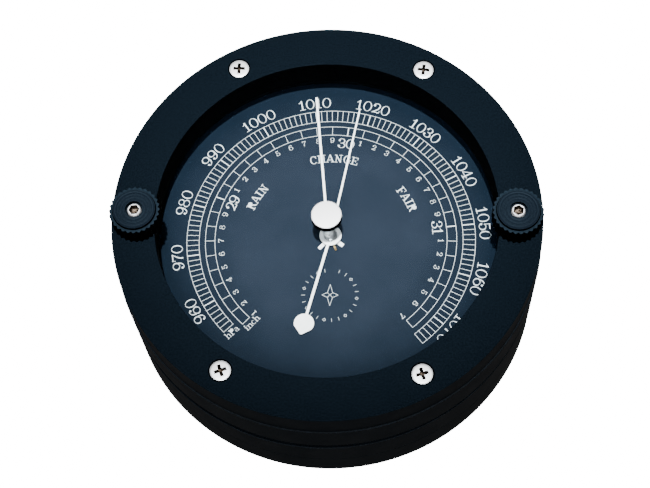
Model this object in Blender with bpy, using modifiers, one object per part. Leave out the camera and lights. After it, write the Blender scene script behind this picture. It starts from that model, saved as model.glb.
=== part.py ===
"""Aneroid barometer with a round case: Blender 4.5, metres, +Z out of the dial.

The case lies on its back on the plane Z = 0, centred on the Z axis, with twelve o'clock along +Y.
Clock angles run clockwise from twelve o'clock, as seen from the front. The movement's arbor stands a
little off the case's axis, so the movement's parts are parented to an empty there.
"""

from math import atan2, cos, pi, radians, sin, sqrt

import bmesh
import bpy
from mathutils import Matrix, Vector

MM = 0.001

# Fits and small edges
GAP = 0.05 * MM  # between two pieces that rest on each other
RUNNING = 0.05 * MM  # radial play of a shaft in its hole
EDGE = 0.35 * MM  # chamfer on the case rings

# Case
BEZEL_RADIUS = 60.0 * MM
BODY_RADIUS = 60.4 * MM
WINDOW_RADIUS = 47.95 * MM
BORE_RADIUS = 50.8 * MM
TOP = 45.0 * MM
BEZEL_LOW = 35.7 * MM
FRONT_TOP = BEZEL_LOW - 0.15 * MM
FRONT_LOW = 24.2 * MM
MIDDLE_TOP = 20.4 * MM
MIDDLE_LOW = 11.0 * MM
BACK_TOP = MIDDLE_LOW - 0.15 * MM
BACK_FLOOR = 3.0 * MM
GROOVE_RADIUS = 58.4 * MM  # bottom of the dark gap between the front and the middle ring
GROOVE_MEAN = 1.3 * MM
GROOVE_TAPER = 2.35 * MM
GROOVE_LEAST = 0.4 * MM
GROOVE_WIDEST_AT = radians(218)
CASE_STEPS = 64

# Fasteners of the case
FASTENER_CIRCLE = 53.6 * MM
BEZEL_SCREW_ANGLES = (-30, 30, 150, 210)
SCREW_RADIUS = 1.5 * MM
SCREW_HEAD_RADIUS = 2.85 * MM
SCREW_CROWN = 0.35 * MM  # how far the raised head stands over the bezel
BACK_SCREW_CIRCLE = 54.4 * MM
BACK_SCREW_ANGLES = (45, 135, 225, 315)
STUD_CIRCLE = 52.6 * MM
STUD_ANGLES = {"left": -92.75, "right": 91.6}
STUD_RADIUS = 1.25 * MM
STUD_HEAD_RADIUS = 2.0 * MM

# Thumb nuts
NUT_RADIUS = 7.05 * MM
NUT_TOOTH = 0.5 * MM
NUT_TEETH = 28
NUT_LOW = TOP + 0.1 * MM
NUT_TOP = TOP + 7.0 * MM
NUT_FACE_RADIUS = 5.85 * MM  # the raised face inside the toothed rim
NUT_STEP = 0.7 * MM  # how far the toothed rim lies under the face
NUT_BORE_RADIUS = 2.4 * MM

# Window
GLASS_RADIUS = 50.5 * MM
GLASS_TOP = BEZEL_LOW - 0.25 * MM
GLASS_LOW = GLASS_TOP - 2.0 * MM
GASKET_INNER = 48.8 * MM
GASKET_OUTER = 50.4 * MM
GASKET_HEIGHT = 0.5 * MM
SNAP_RADIUS = 50.6 * MM
SNAP_WIRE = 0.3 * MM
SNAP_Z = GLASS_LOW - SNAP_WIRE - GAP

# Set hand
ARBOR_RADIUS = 0.8 * MM
KNOB_RADIUS = 4.3 * MM
KNOB_TOP = TOP - 0.6 * MM
KNOB_HEIGHT = 2.6 * MM
KNOB_TEETH = 60
KNOB_TOOTH = 0.22 * MM
SET_HAND_TOP = 32.65 * MM
SET_HAND_LENGTH = 44.3 * MM
SET_HAND_WIDTH = 0.8 * MM
SET_HAND_ANGLE = radians(-6.1)
SET_HUB_RADIUS = 1.4 * MM
WASHER_RADIUS = 1.5 * MM
HAND_THICK = 0.3 * MM

# Dial and indicator hand
DIAL_TOP = 29.8 * MM
DIAL_LOW = 29.0 * MM
DIAL_RADIUS = 50.55 * MM
LEDGE_RADIUS = 48.6 * MM
MOVEMENT_X = 0.71 * MM
MOVEMENT_Y = -0.38 * MM
SHAFT_RADIUS = 0.6 * MM
BUSH_RADIUS = 1.8 * MM
BUSH_TOP = DIAL_TOP + 0.75 * MM
BUSH_COLLAR = 2.3 * MM
NEEDLE_ANGLE = radians(10.3)
NEEDLE_LENGTH = 42.6 * MM
TAIL_BEND = radians(3.6)
TAIL_LENGTH = 27.7 * MM
TAIL_TIP = 31.2 * MM
TAIL_DISC_RADIUS = 2.85 * MM
BOSS_RADIUS = 3.15 * MM
NEEDLE_LOW = DIAL_TOP + 1.05 * MM
BOSS_TOP = NEEDLE_LOW + HAND_THICK + 0.75 * MM

# Movement, all heights from the case's back and places from the arbor
BASE_LOW = 5.0 * MM
BASE_TOP = 6.5 * MM
BASE_RADIUS = 40.0 * MM
PILLAR_CIRCLE = 34.0 * MM
PILLAR_ANGLES = (90, 215, 325)
LOWER_PLATE_LOW = 18.6 * MM
LOWER_PLATE_TOP = 19.8 * MM
TOP_PLATE_LOW = 23.2 * MM
TOP_PLATE_TOP = 24.4 * MM
PINION_TEETH = 12
GEAR_RATIO = 10
PINION_PITCH_RADIUS = 2.0 * MM
SECTOR_PITCH_RADIUS = PINION_PITCH_RADIUS * GEAR_RATIO
GEAR_DEPTH = 0.22 * MM  # tooth height over and under the pitch circle
SECTOR_Y = -(PINION_PITCH_RADIUS + SECTOR_PITCH_RADIUS + 0.05 * MM)
SECTOR_LOW = 20.9 * MM
SECTOR_TOP = 22.1 * MM
ROCKER_Z = 13.0 * MM
ROCKER_REACH = (SECTOR_LOW + SECTOR_TOP) / 2 - ROCKER_Z  # from the rocking shaft to the sector
SECTOR_TAIL = 0.75 * ROCKER_REACH  # the sector turns 4/3 as far as the rocking shaft
CRANK_REACH = 2.5 * MM
CRANK_Y = -18.6 * MM
CAPSULE_RADIUS = 15.5 * MM
CAPSULE_LOW = 8.0 * MM
CAPSULE_TOP = 13.5 * MM
LEVER_LOW = 16.7 * MM
LEVER_TOP = 17.6 * MM
SPRING_LOW = 14.9 * MM
SPRING_THICK = 0.8 * MM
SPRING_WIDTH = 14.0 * MM
HEAD_NECK = 1.9 * MM  # the capsule's head where it passes through the spring


def new_collection(name):
    collection = bpy.data.collections.new(name)
    bpy.context.scene.collection.children.link(collection)
    return collection


for old in list(bpy.data.objects):
    bpy.data.objects.remove(old, do_unlink=True)
PARTS = new_collection("aneroid_barometer")
CUTTERS = new_collection("cutters")


def material(name, colour, roughness, metallic=0.0, alpha=1.0):
    made = bpy.data.materials.new(name)
    made.use_nodes = True
    shader = made.node_tree.nodes["Principled BSDF"]
    shader.inputs["Base Color"].default_value = (*colour, 1.0)
    shader.inputs["Roughness"].default_value = roughness
    shader.inputs["Metallic"].default_value = metallic
    shader.inputs["Alpha"].default_value = alpha
    return made


BLACK = material("black_case", (0.012, 0.016, 0.022), 0.55)
RUBBER = material("black_rubber", (0.01, 0.01, 0.01), 0.8)
GLASS = material("clear_glass", (0.9, 0.95, 0.96), 0.03, alpha=0.15)
SLATE = material("slate_dial", (0.035, 0.06, 0.085), 0.7)
WHITE = material("white_paint", (0.85, 0.86, 0.86), 0.45)
STEEL = material("bright_steel", (0.75, 0.76, 0.78), 0.25, 1.0)
BRASS = material("brass", (0.72, 0.53, 0.24), 0.35, 1.0)
BRONZE = material("spring_bronze", (0.55, 0.42, 0.28), 0.4, 1.0)


def add(name, data, surface=None, parent=None, place=(0, 0, 0)):
    """A new object in the parts collection, or with no surface a hidden cutter."""
    made = bpy.data.objects.new(name, data)
    made.location = place
    made.parent = parent
    if surface:
        data.materials.append(surface)
        PARTS.objects.link(made)
    else:
        made.hide_render = True
        made.display_type = "WIRE"
        CUTTERS.objects.link(made)
    return made


def empty(name, x, y):
    made = bpy.data.objects.new(name, None)
    made.location = (x, y, 0)
    PARTS.objects.link(made)
    return made


def clock(radius, angle):
    """The point at a clock angle in radians on a circle around the origin."""
    return radius * sin(angle), radius * cos(angle)


def circle(radius, count, x=0.0, y=0.0):
    turns = (2 * pi * i / count for i in range(count))
    return [(x + radius * cos(a), y + radius * sin(a)) for a in turns]


def toothed(radius, depth, teeth, flat=0.0):
    """A circle of pointed teeth. With flat, each tip and root is that share of the pitch wide."""
    sides = (-flat / 2, flat / 2) if flat else (0,)
    points = []
    for tooth in range(teeth):
        for reach, middle in ((radius, tooth), (radius - depth, tooth + 0.5)):
            for side in sides:
                turn = (middle + side) * 2 * pi / teeth
                points.append((reach * cos(turn), reach * sin(turn)))
    return points


def turned(name, profile, steps, surface=None, ring=True, parent=None, place=(0, 0, 0)):
    """A profile of (radius, height) turned round Z. A ring's profile closes on itself."""
    count = len(profile)
    edges = [(i, i + 1) for i in range(count - 1)]
    if ring:
        edges.append((count - 1, 0))
    data = bpy.data.meshes.new(name)
    data.from_pydata([(r, 0, z) for r, z in profile], edges, [])
    made = add(name, data, surface, parent, place)
    screw = made.modifiers.new("turn", "SCREW")
    screw.steps = steps
    screw.render_steps = steps
    screw.use_merge_vertices = True
    screw.merge_threshold = 1e-6
    screw.use_normal_calculate = False
    return made


def rod(name, radius, low, high, steps, surface=None, parent=None, x=0.0, y=0.0):
    profile = [(0, high), (radius, high), (radius, low), (0, low)]
    return turned(name, profile, steps, surface, False, parent, (x, y, 0))


def washer(name, inner, outer, low, high, steps, surface=None, parent=None):
    profile = [(inner, high), (outer, high), (outer, low), (inner, low)]
    return turned(name, profile, steps, surface, True, parent)


def flat(name, outlines, low, high, surface=None, parent=None):
    """A plate between two heights. The first outline is its edge, the others are its holes."""
    data = bpy.data.curves.new(name, "CURVE")
    data.dimensions = "2D"
    data.fill_mode = "BOTH"
    data.extrude = (high - low) / 2
    for outline in outlines:
        spline = data.splines.new("POLY")
        spline.points.add(len(outline) - 1)
        for point, (x, y) in zip(spline.points, outline):
            point.co = (x, y, 0, 1)
        spline.use_cyclic_u = True
    return add(name, data, surface, parent, (0, 0, (low + high) / 2))


def box(name, low, high):
    """A box as a cutter or an added shape, between two corners."""
    data = bpy.data.meshes.new(name)
    work = bmesh.new()
    bmesh.ops.create_cube(work, size=1)
    size = [high[i] - low[i] for i in range(3)]
    middle = [(high[i] + low[i]) / 2 for i in range(3)]
    work.transform(Matrix.Translation(middle) @ Matrix.Diagonal((*size, 1)))
    work.to_mesh(data)
    work.free()
    return add(name, data)


def combine(target, tool, operation="DIFFERENCE"):
    boolean = target.modifiers.new(tool.name, "BOOLEAN")
    boolean.operation = operation
    boolean.object = tool
    if tool.parent is None:
        tool.parent = target.parent
    return target


def as_mesh(shape):
    """The same object as a plain mesh, with its modifiers applied and its caps welded."""
    bpy.context.view_layer.update()
    evaluated = shape.evaluated_get(bpy.context.evaluated_depsgraph_get())
    data = bpy.data.meshes.new_from_object(evaluated)
    work = bmesh.new()
    work.from_mesh(data)
    bmesh.ops.remove_doubles(work, verts=work.verts, dist=1e-6)
    work.to_mesh(data)
    work.free()
    name = shape.name
    home = shape.users_collection[0]
    hidden = shape.hide_render
    made = bpy.data.objects.new(name + "_mesh", data)
    made.matrix_world = shape.matrix_world
    made.parent = shape.parent
    if shape.parent:
        made.matrix_parent_inverse = shape.parent.matrix_world.inverted()
    home.objects.link(made)
    made.hide_render = hidden
    made.display_type = shape.display_type
    bpy.data.objects.remove(shape, do_unlink=True)
    made.name = name
    return made


def drill(target, radius, low, high, x=0.0, y=0.0, steps=16):
    return combine(target, rod(target.name + "_hole", radius, low, high, steps, x=x, y=y))


# ---------------------------------------------------------------- case rings


def drill_for_studs(ring, low, high):
    for angle in STUD_ANGLES.values():
        x, y = clock(STUD_CIRCLE, radians(angle))
        drill(ring, STUD_RADIUS + RUNNING, low, high, x, y)


def drill_for_back_screws(ring, low, high):
    for angle in BACK_SCREW_ANGLES:
        x, y = clock(BACK_SCREW_CIRCLE, radians(angle))
        drill(ring, SCREW_RADIUS + GAP, low, high, x, y)


def make_bezel_ring():
    seat_top = BEZEL_LOW + GASKET_HEIGHT
    ring = turned(
        "bezel_ring",
        [
            (WINDOW_RADIUS + EDGE / 2, TOP),
            (BEZEL_RADIUS - EDGE, TOP),
            (BEZEL_RADIUS, TOP - EDGE),
            (BEZEL_RADIUS, BEZEL_LOW + EDGE),
            (BEZEL_RADIUS - EDGE, BEZEL_LOW),
            (GASKET_OUTER + GAP, BEZEL_LOW),
            (GASKET_OUTER + GAP, seat_top),
            (GASKET_INNER - GAP, seat_top),
            (GASKET_INNER - GAP, BEZEL_LOW),
            (WINDOW_RADIUS, BEZEL_LOW),
            (WINDOW_RADIUS, TOP - EDGE / 2),
        ],
        CASE_STEPS,
        BLACK,
    )
    mouth = SCREW_HEAD_RADIUS + 0.25 * MM
    depth = mouth - SCREW_RADIUS
    for angle in BEZEL_SCREW_ANGLES:
        x, y = clock(FASTENER_CIRCLE, radians(angle))
        sink = turned(
            "bezel_sink",
            [
                (0, TOP + MM),
                (mouth, TOP + MM),
                (mouth, TOP - 0.1 * MM),
                (mouth - depth, TOP - 0.1 * MM - depth),
                (SCREW_RADIUS + GAP, BEZEL_LOW - MM),
                (0, BEZEL_LOW - MM),
            ],
            20,
            ring=False,
            place=(x, y, 0),
        )
        combine(ring, sink)
    drill_for_studs(ring, BEZEL_LOW - MM, TOP + MM)


def make_front_ring():
    groove = SNAP_RADIUS + SNAP_WIRE + 2 * GAP
    ring = turned(
        "case_front_ring",
        [
            (BORE_RADIUS, FRONT_TOP),
            (BODY_RADIUS - EDGE, FRONT_TOP),
            (BODY_RADIUS, FRONT_TOP - EDGE),
            (BODY_RADIUS, FRONT_LOW + EDGE),
            (BODY_RADIUS - EDGE, FRONT_LOW),
            (LEDGE_RADIUS, FRONT_LOW),
            (LEDGE_RADIUS, DIAL_LOW - GAP),
            (BORE_RADIUS, DIAL_LOW - GAP),
            (BORE_RADIUS, SNAP_Z - SNAP_WIRE - GAP),
            (groove, SNAP_Z - SNAP_WIRE - GAP),
            (groove, SNAP_Z + SNAP_WIRE + GAP / 2),
            (BORE_RADIUS, SNAP_Z + SNAP_WIRE + GAP / 2),
        ],
        CASE_STEPS,
        BLACK,
    )
    for angle in BEZEL_SCREW_ANGLES:
        x, y = clock(FASTENER_CIRCLE, radians(angle))
        drill(ring, SCREW_RADIUS + GAP, DIAL_LOW, FRONT_TOP + MM, x, y)
    drill_for_back_screws(ring, FRONT_LOW - MM, FRONT_LOW + 4 * MM)
    drill_for_studs(ring, FRONT_LOW - MM, FRONT_TOP + MM)


def make_seal_ring():
    ring = washer(
        "case_seal_ring",
        BORE_RADIUS,
        GROOVE_RADIUS - GAP,
        MIDDLE_TOP + GAP,
        FRONT_LOW - GAP,
        CASE_STEPS,
        RUBBER,
    )
    drill_for_back_screws(ring, MIDDLE_TOP - MM, FRONT_LOW + MM)
    drill_for_studs(ring, MIDDLE_TOP - MM, FRONT_LOW + MM)


def groove_width(angle):
    """The visible gap's height at a clock angle: the middle ring's lip isn't parallel to the front ring."""
    return max(GROOVE_LEAST, GROOVE_MEAN + GROOVE_TAPER * cos(angle - GROOVE_WIDEST_AT))


def make_middle_ring():
    ring = turned(
        "case_middle_ring",
        [
            (BORE_RADIUS, MIDDLE_TOP),
            (GROOVE_RADIUS, MIDDLE_TOP),
            (GROOVE_RADIUS, FRONT_LOW),
            (BODY_RADIUS - EDGE, FRONT_LOW),
            (BODY_RADIUS, FRONT_LOW - EDGE),
            (BODY_RADIUS, MIDDLE_LOW + EDGE),
            (BODY_RADIUS - EDGE, MIDDLE_LOW),
            (BORE_RADIUS, MIDDLE_LOW),
        ],
        CASE_STEPS,
        BLACK,
    )
    ring = as_mesh(ring)
    for vertex in ring.data.vertices:
        if vertex.co.z > MIDDLE_TOP + MM:
            vertex.co.z -= groove_width(atan2(vertex.co.x, vertex.co.y))
    drill_for_back_screws(ring, MIDDLE_LOW - MM, MIDDLE_TOP + MM)
    drill_for_studs(ring, MIDDLE_LOW - MM, MIDDLE_TOP + MM)


def make_back_plate():
    floor_edge = 0.8 * MM
    plate = turned(
        "back_plate",
        [
            (0, BACK_FLOOR),
            (BORE_RADIUS, BACK_FLOOR),
            (BORE_RADIUS, BACK_TOP),
            (BODY_RADIUS - EDGE, BACK_TOP),
            (BODY_RADIUS, BACK_TOP - EDGE),
            (BODY_RADIUS, floor_edge),
            (BODY_RADIUS - floor_edge, 0),
            (0, 0),
        ],
        CASE_STEPS,
        BLACK,
        ring=False,
    )
    for angle in (35, 145, 270):
        x, y = clock(PILLAR_CIRCLE, radians(angle))
        foot = rod("plate_rest", 4 * MM, BACK_FLOOR - MM, BASE_LOW - GAP, 16, x=x, y=y)
        combine(plate, foot, "UNION")
    for angle in BACK_SCREW_ANGLES:
        x, y = clock(BACK_SCREW_CIRCLE, radians(angle))
        drill(plate, SCREW_HEAD_RADIUS + 0.2 * MM, -MM, 2.4 * MM, x, y, 20)
    drill_for_back_screws(plate, -MM, BACK_TOP + MM)
    drill_for_studs(plate, 4 * MM, BACK_TOP + MM)
    drill(plate, 3.0 * MM, -MM, BACK_FLOOR + MM, MOVEMENT_X, MOVEMENT_Y, 24)
    drill(plate, 1.5 * MM, -MM, BACK_FLOOR + MM, 0, 22 * MM)


# ---------------------------------------------------------------- fasteners of the case


def copies(pattern, names_and_places):
    """One object for each name, all of the pattern's mesh. The pattern itself is removed."""
    bpy.context.view_layer.update()
    data = pattern.data
    data.transform(pattern.matrix_world)
    for name, x, y in names_and_places:
        made = bpy.data.objects.new(name, data)
        made.location = (x, y, 0)
        PARTS.objects.link(made)
    bpy.data.objects.remove(pattern, do_unlink=True)


def numbered(name, radius, angles):
    places = []
    for number, angle in enumerate(angles, 1):
        places.append((f"{name}_{number}", *clock(radius, radians(angle))))
    return places


def make_bezel_screws():
    neck = TOP - 0.1 * MM
    cone = SCREW_HEAD_RADIUS - SCREW_RADIUS
    screw = turned(
        "bezel_screw",
        [
            (0, TOP + SCREW_CROWN),
            (SCREW_HEAD_RADIUS * 0.6, TOP + SCREW_CROWN * 0.7),
            (SCREW_HEAD_RADIUS, neck),
            (SCREW_HEAD_RADIUS - cone, neck - cone - 0.2 * MM),
            (SCREW_RADIUS, DIAL_LOW + 0.6 * MM),
            (0, DIAL_LOW + 0.6 * MM),
        ],
        20,
        STEEL,
        ring=False,
    )
    arm = 1.45 * MM
    half = 0.36 * MM
    floor = TOP - 1.3 * MM
    combine(screw, box("slot_x", (-arm, -half, floor), (arm, half, TOP + MM)))
    combine(screw, box("slot_y", (-half, -arm, floor), (half, arm, TOP + MM)))
    copies(as_mesh(screw), numbered("bezel_screw", FASTENER_CIRCLE, BEZEL_SCREW_ANGLES))


def make_back_screws():
    head = SCREW_HEAD_RADIUS
    screw = turned(
        "back_screw",
        [
            (0, FRONT_LOW + 3.6 * MM),
            (SCREW_RADIUS, FRONT_LOW + 3.6 * MM),
            (SCREW_RADIUS, 2.3 * MM),
            (head, 2.3 * MM),
            (head, 0.8 * MM),
            (head * 0.8, 0.3 * MM),
            (0, 0.3 * MM),
        ],
        20,
        STEEL,
        ring=False,
    )
    arm = 1.45 * MM
    half = 0.36 * MM
    combine(screw, box("slot_x", (-arm, -half, -MM), (arm, half, 1.4 * MM)))
    combine(screw, box("slot_y", (-half, -arm, -MM), (half, arm, 1.4 * MM)))
    copies(as_mesh(screw), numbered("back_screw", BACK_SCREW_CIRCLE, BACK_SCREW_ANGLES))


def stud_places(name):
    return [(f"{name}_{side}", *clock(STUD_CIRCLE, radians(a))) for side, a in STUD_ANGLES.items()]


def make_studs():
    head_top = NUT_TOP - 0.35 * MM
    stud = turned(
        "stud",
        [
            (0, head_top),
            (STUD_HEAD_RADIUS - 0.2 * MM, head_top),
            (STUD_HEAD_RADIUS, head_top - 0.2 * MM),
            (STUD_HEAD_RADIUS, NUT_LOW + 0.4 * MM),
            (STUD_RADIUS, NUT_LOW + 0.4 * MM),
            (STUD_RADIUS, 4.3 * MM),
            (0, 4.3 * MM),
        ],
        24,
        STEEL,
        ring=False,
    )
    socket = rod("socket", 1.3 * MM, head_top - 2.2 * MM, head_top + MM, 6)
    combine(stud, socket)
    copies(as_mesh(stud), stud_places("stud"))


def make_thumb_nuts():
    nut = flat("thumb_nut", [toothed(NUT_RADIUS, NUT_TOOTH, NUT_TEETH)], NUT_LOW, NUT_TOP, BLACK)
    nut = as_mesh(nut)
    thread = STUD_HEAD_RADIUS + RUNNING
    ring_depth = 1.1 * MM
    shape = turned(
        "nut_shape",
        [
            (NUT_BORE_RADIUS, NUT_TOP),
            (NUT_FACE_RADIUS, NUT_TOP),
            (NUT_FACE_RADIUS, NUT_TOP - NUT_STEP),
            (NUT_RADIUS + 0.1 * MM, NUT_TOP - NUT_STEP),
            (NUT_RADIUS + 0.1 * MM, NUT_LOW + 0.4 * MM),
            (NUT_RADIUS - 0.5 * MM, NUT_LOW),
            (thread, NUT_LOW),
            (thread, NUT_TOP - ring_depth),
            (NUT_BORE_RADIUS, NUT_TOP - ring_depth),
        ],
        NUT_TEETH,
    )
    combine(nut, shape, "INTERSECT")
    copies(as_mesh(nut), stud_places("thumb_nut"))


# ---------------------------------------------------------------- window and set hand


def make_window():
    washer("glass", ARBOR_RADIUS + RUNNING, GLASS_RADIUS, GLASS_LOW, GLASS_TOP, CASE_STEPS, GLASS)
    washer(
        "glass_gasket",
        GASKET_INNER,
        GASKET_OUTER,
        GLASS_TOP + GAP,
        BEZEL_LOW + GASKET_HEIGHT - GAP,
        CASE_STEPS,
        RUBBER,
    )
    data = bpy.data.curves.new("glass_snap_ring", "CURVE")
    data.dimensions = "3D"
    data.bevel_depth = SNAP_WIRE
    data.bevel_resolution = 1
    data.use_fill_caps = True
    spline = data.splines.new("POLY")
    turns = [radians(8 + 344 * i / 40) for i in range(41)]
    spline.points.add(len(turns) - 1)
    for point, turn in zip(spline.points, turns):
        point.co = (*clock(SNAP_RADIUS, turn), 0, 1)
    add("glass_snap_ring", data, STEEL, place=(0, 0, SNAP_Z))


def make_set_hand():
    low = KNOB_TOP - KNOB_HEIGHT
    knob = as_mesh(flat("set_knob", [toothed(KNOB_RADIUS, KNOB_TOOTH, KNOB_TEETH)], low, KNOB_TOP, STEEL))
    edge = 0.2 * MM
    socket_top = KNOB_TOP - 0.8 * MM
    shape = turned(
        "knob_shape",
        [
            (0, KNOB_TOP),
            (KNOB_RADIUS - edge, KNOB_TOP),
            (KNOB_RADIUS + 0.1 * MM, KNOB_TOP - edge),
            (KNOB_RADIUS + 0.1 * MM, low + edge),
            (KNOB_RADIUS - edge, low),
            (ARBOR_RADIUS + GAP / 2, low),
            (ARBOR_RADIUS + GAP / 2, socket_top),
            (0, socket_top),
        ],
        KNOB_TEETH,
        ring=False,
    )
    combine(knob, shape, "INTERSECT")
    foot = 0.55 * MM
    hand_low = SET_HAND_TOP - HAND_THICK
    turned(
        "set_arbor",
        [
            (0, socket_top - GAP),
            (ARBOR_RADIUS, socket_top - GAP),
            (ARBOR_RADIUS, SET_HAND_TOP + GAP),
            (foot, SET_HAND_TOP + GAP),
            (foot, hand_low),
            (0, hand_low),
        ],
        24,
        STEEL,
        ring=False,
    )
    bore = ARBOR_RADIUS + RUNNING
    washer("set_washer", bore, WASHER_RADIUS, SET_HAND_TOP + GAP, GLASS_LOW - GAP, 24, STEEL)
    half = SET_HAND_WIDTH / 2
    start = sqrt(SET_HUB_RADIUS**2 - half**2)
    outline = [(half, start), (half, SET_HAND_LENGTH), (-half, SET_HAND_LENGTH), (-half, start)]
    outline += [clock(SET_HUB_RADIUS, -radians(a)) for a in range(40, 330, 15)]
    hand = flat("set_hand", [outline, circle(foot + GAP / 2, 16)], hand_low, SET_HAND_TOP, WHITE)
    hand.rotation_euler.z = -SET_HAND_ANGLE


# ---------------------------------------------------------------- dial and indicator hand


def make_dial(movement):
    hole = circle(BUSH_RADIUS + GAP, 24, MOVEMENT_X, MOVEMENT_Y)
    flat("dial_plate", [circle(DIAL_RADIUS, CASE_STEPS), hole], DIAL_LOW, DIAL_TOP, SLATE)
    turned(
        "dial_bush",
        [
            (SHAFT_RADIUS + RUNNING, BUSH_TOP),
            (BUSH_RADIUS, BUSH_TOP),
            (BUSH_RADIUS, DIAL_LOW - GAP),
            (BUSH_COLLAR, DIAL_LOW - GAP),
            (BUSH_COLLAR, DIAL_LOW - 0.9 * MM),
            (SHAFT_RADIUS + RUNNING, DIAL_LOW - 0.9 * MM),
        ],
        24,
        BRASS,
        parent=movement,
    )
    body = 2.6 * MM
    legs = ((126, 4.5 * MM, 0.6 * MM), (221.5, 4.9 * MM, 0.52 * MM))
    outline = []
    for angle, reach, half in legs:
        along = Vector(clock(1, radians(angle)))
        across = Vector((along.y, -along.x))
        root = sqrt(body**2 - half**2)
        corners = ((root, -half), (reach, -half), (reach, half), (root, half))
        outline += [tuple(along * out + across * aside) for out, aside in corners]
        if angle < 180:
            outline += [clock(body, radians(a)) for a in range(150, 200, 20)]
    outline += [clock(body, radians(a)) for a in range(245, 466, 20)]
    flat(
        "bush_clip",
        [outline, circle(BUSH_RADIUS + GAP, 20)],
        DIAL_TOP + GAP,
        DIAL_TOP + 0.35 * MM,
        WHITE,
        parent=movement,
    )


def make_indicator_hand(movement):
    """Needle, hub and tail as one outline. The tail leaves the hub at a small angle to the needle."""
    hub = 2.4 * MM
    tip_half = 0.3 * MM
    root_half = 0.37 * MM
    tail_half = 0.43 * MM
    needle = [
        (root_half, hub * 0.95),
        (tip_half, NEEDLE_LENGTH - 1.6 * MM),
        (0, NEEDLE_LENGTH),
        (-tip_half, NEEDLE_LENGTH - 1.6 * MM),
        (-root_half, hub * 0.95),
    ]
    hub_left = [clock(hub, radians(-a)) for a in range(30, 170, 20)]
    disc_start = TAIL_LENGTH - sqrt(TAIL_DISC_RADIUS**2 - tail_half**2)
    disc = []
    for turn in range(20, 140, 15):
        side = TAIL_DISC_RADIUS * sin(radians(turn))
        disc.append((side, TAIL_LENGTH - TAIL_DISC_RADIUS * cos(radians(turn))))
    tail_right = [(tail_half, hub * 0.95), (tail_half, disc_start), *disc]
    tail = [*tail_right, (0, TAIL_TIP), *((-x, y) for x, y in reversed(tail_right))]
    bend = pi + TAIL_BEND
    turned_tail = [(x * cos(bend) + y * sin(bend), y * cos(bend) - x * sin(bend)) for x, y in tail]
    hub_right = [clock(hub, radians(a)) for a in range(150, 20, -20)]
    outline = needle + hub_left + turned_tail + hub_right
    hand = flat(
        "indicator_hand",
        [outline, circle(SHAFT_RADIUS + 0.5 * MM, 16)],
        NEEDLE_LOW,
        NEEDLE_LOW + HAND_THICK,
        WHITE,
        parent=movement,
    )
    hand.rotation_euler.z = -NEEDLE_ANGLE
    over = NEEDLE_LOW + HAND_THICK + GAP
    turned(
        "indicator_boss",
        [
            (SHAFT_RADIUS + GAP / 2, BOSS_TOP),
            (BOSS_RADIUS * 0.5, BOSS_TOP),
            (BOSS_RADIUS * 0.64, over + 0.35 * MM),
            (BOSS_RADIUS - 0.15 * MM, over + 0.35 * MM),
            (BOSS_RADIUS, over + 0.2 * MM),
            (BOSS_RADIUS, over),
            (SHAFT_RADIUS + 0.5 * MM - GAP, over),
            (SHAFT_RADIUS + 0.5 * MM - GAP, NEEDLE_LOW),
            (SHAFT_RADIUS + GAP / 2, NEEDLE_LOW),
        ],
        32,
        STEEL,
        parent=movement,
    )


# ---------------------------------------------------------------- movement


def make_plates(movement):
    base = circle(BASE_RADIUS, 48)
    flat("base_plate", [base, circle(1.7 * MM, 16), *pillar_holes(1.1)], BASE_LOW, BASE_TOP, BRASS, movement)
    arbor_hole = circle(SHAFT_RADIUS + RUNNING, 16)
    sector_hole = circle(0.8 * MM + RUNNING, 16, 0, SECTOR_Y)
    arm_y = SECTOR_Y - SECTOR_TAIL
    window = rectangle(-2.9 * MM, 2.9 * MM, arm_y - 1.8 * MM, arm_y + 1.8 * MM)
    lower = [plate_arms(10 * MM), arbor_hole, sector_hole, window, *pillar_holes(2.15)]
    flat("lower_plate", lower, LOWER_PLATE_LOW, LOWER_PLATE_TOP, BRASS, movement)
    upper = [plate_arms(10 * MM), arbor_hole, sector_hole, *pillar_holes(1.65)]
    flat("top_plate", upper, TOP_PLATE_LOW, TOP_PLATE_TOP, BRASS, movement)


def rectangle(left, right, low, high):
    return [(left, low), (right, low), (right, high), (left, high)]


def pillar_holes(radius_mm):
    holes = []
    for angle in PILLAR_ANGLES:
        x, y = clock(PILLAR_CIRCLE, radians(angle))
        holes.append(circle(radius_mm * MM, 16, x, y))
    return holes


def plate_arms(width):
    """A plate outline that reaches each pillar and the sector's arbor with a rounded end."""
    outline = []
    reaches = [(a, PILLAR_CIRCLE) for a in PILLAR_ANGLES] + [(180, -SECTOR_Y + SECTOR_TAIL)]
    for angle, reach in sorted(reaches):
        along = Vector(clock(1, radians(angle)))
        across = Vector((-along.y, along.x))
        for turn in range(0, 181, 30):
            side = cos(radians(turn)) * width / 2
            out = reach + sin(radians(turn)) * width / 2
            outline.append(tuple(along * out + across * side))
        waist = radians(angle) + next_half_gap(angle, sorted(a for a, _ in reaches))
        outline.append(clock(12 * MM, waist))
    return outline


def next_half_gap(angle, angles):
    following = angles[(angles.index(angle) + 1) % len(angles)]
    return radians(((following - angle) % 360) / 2)


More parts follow.
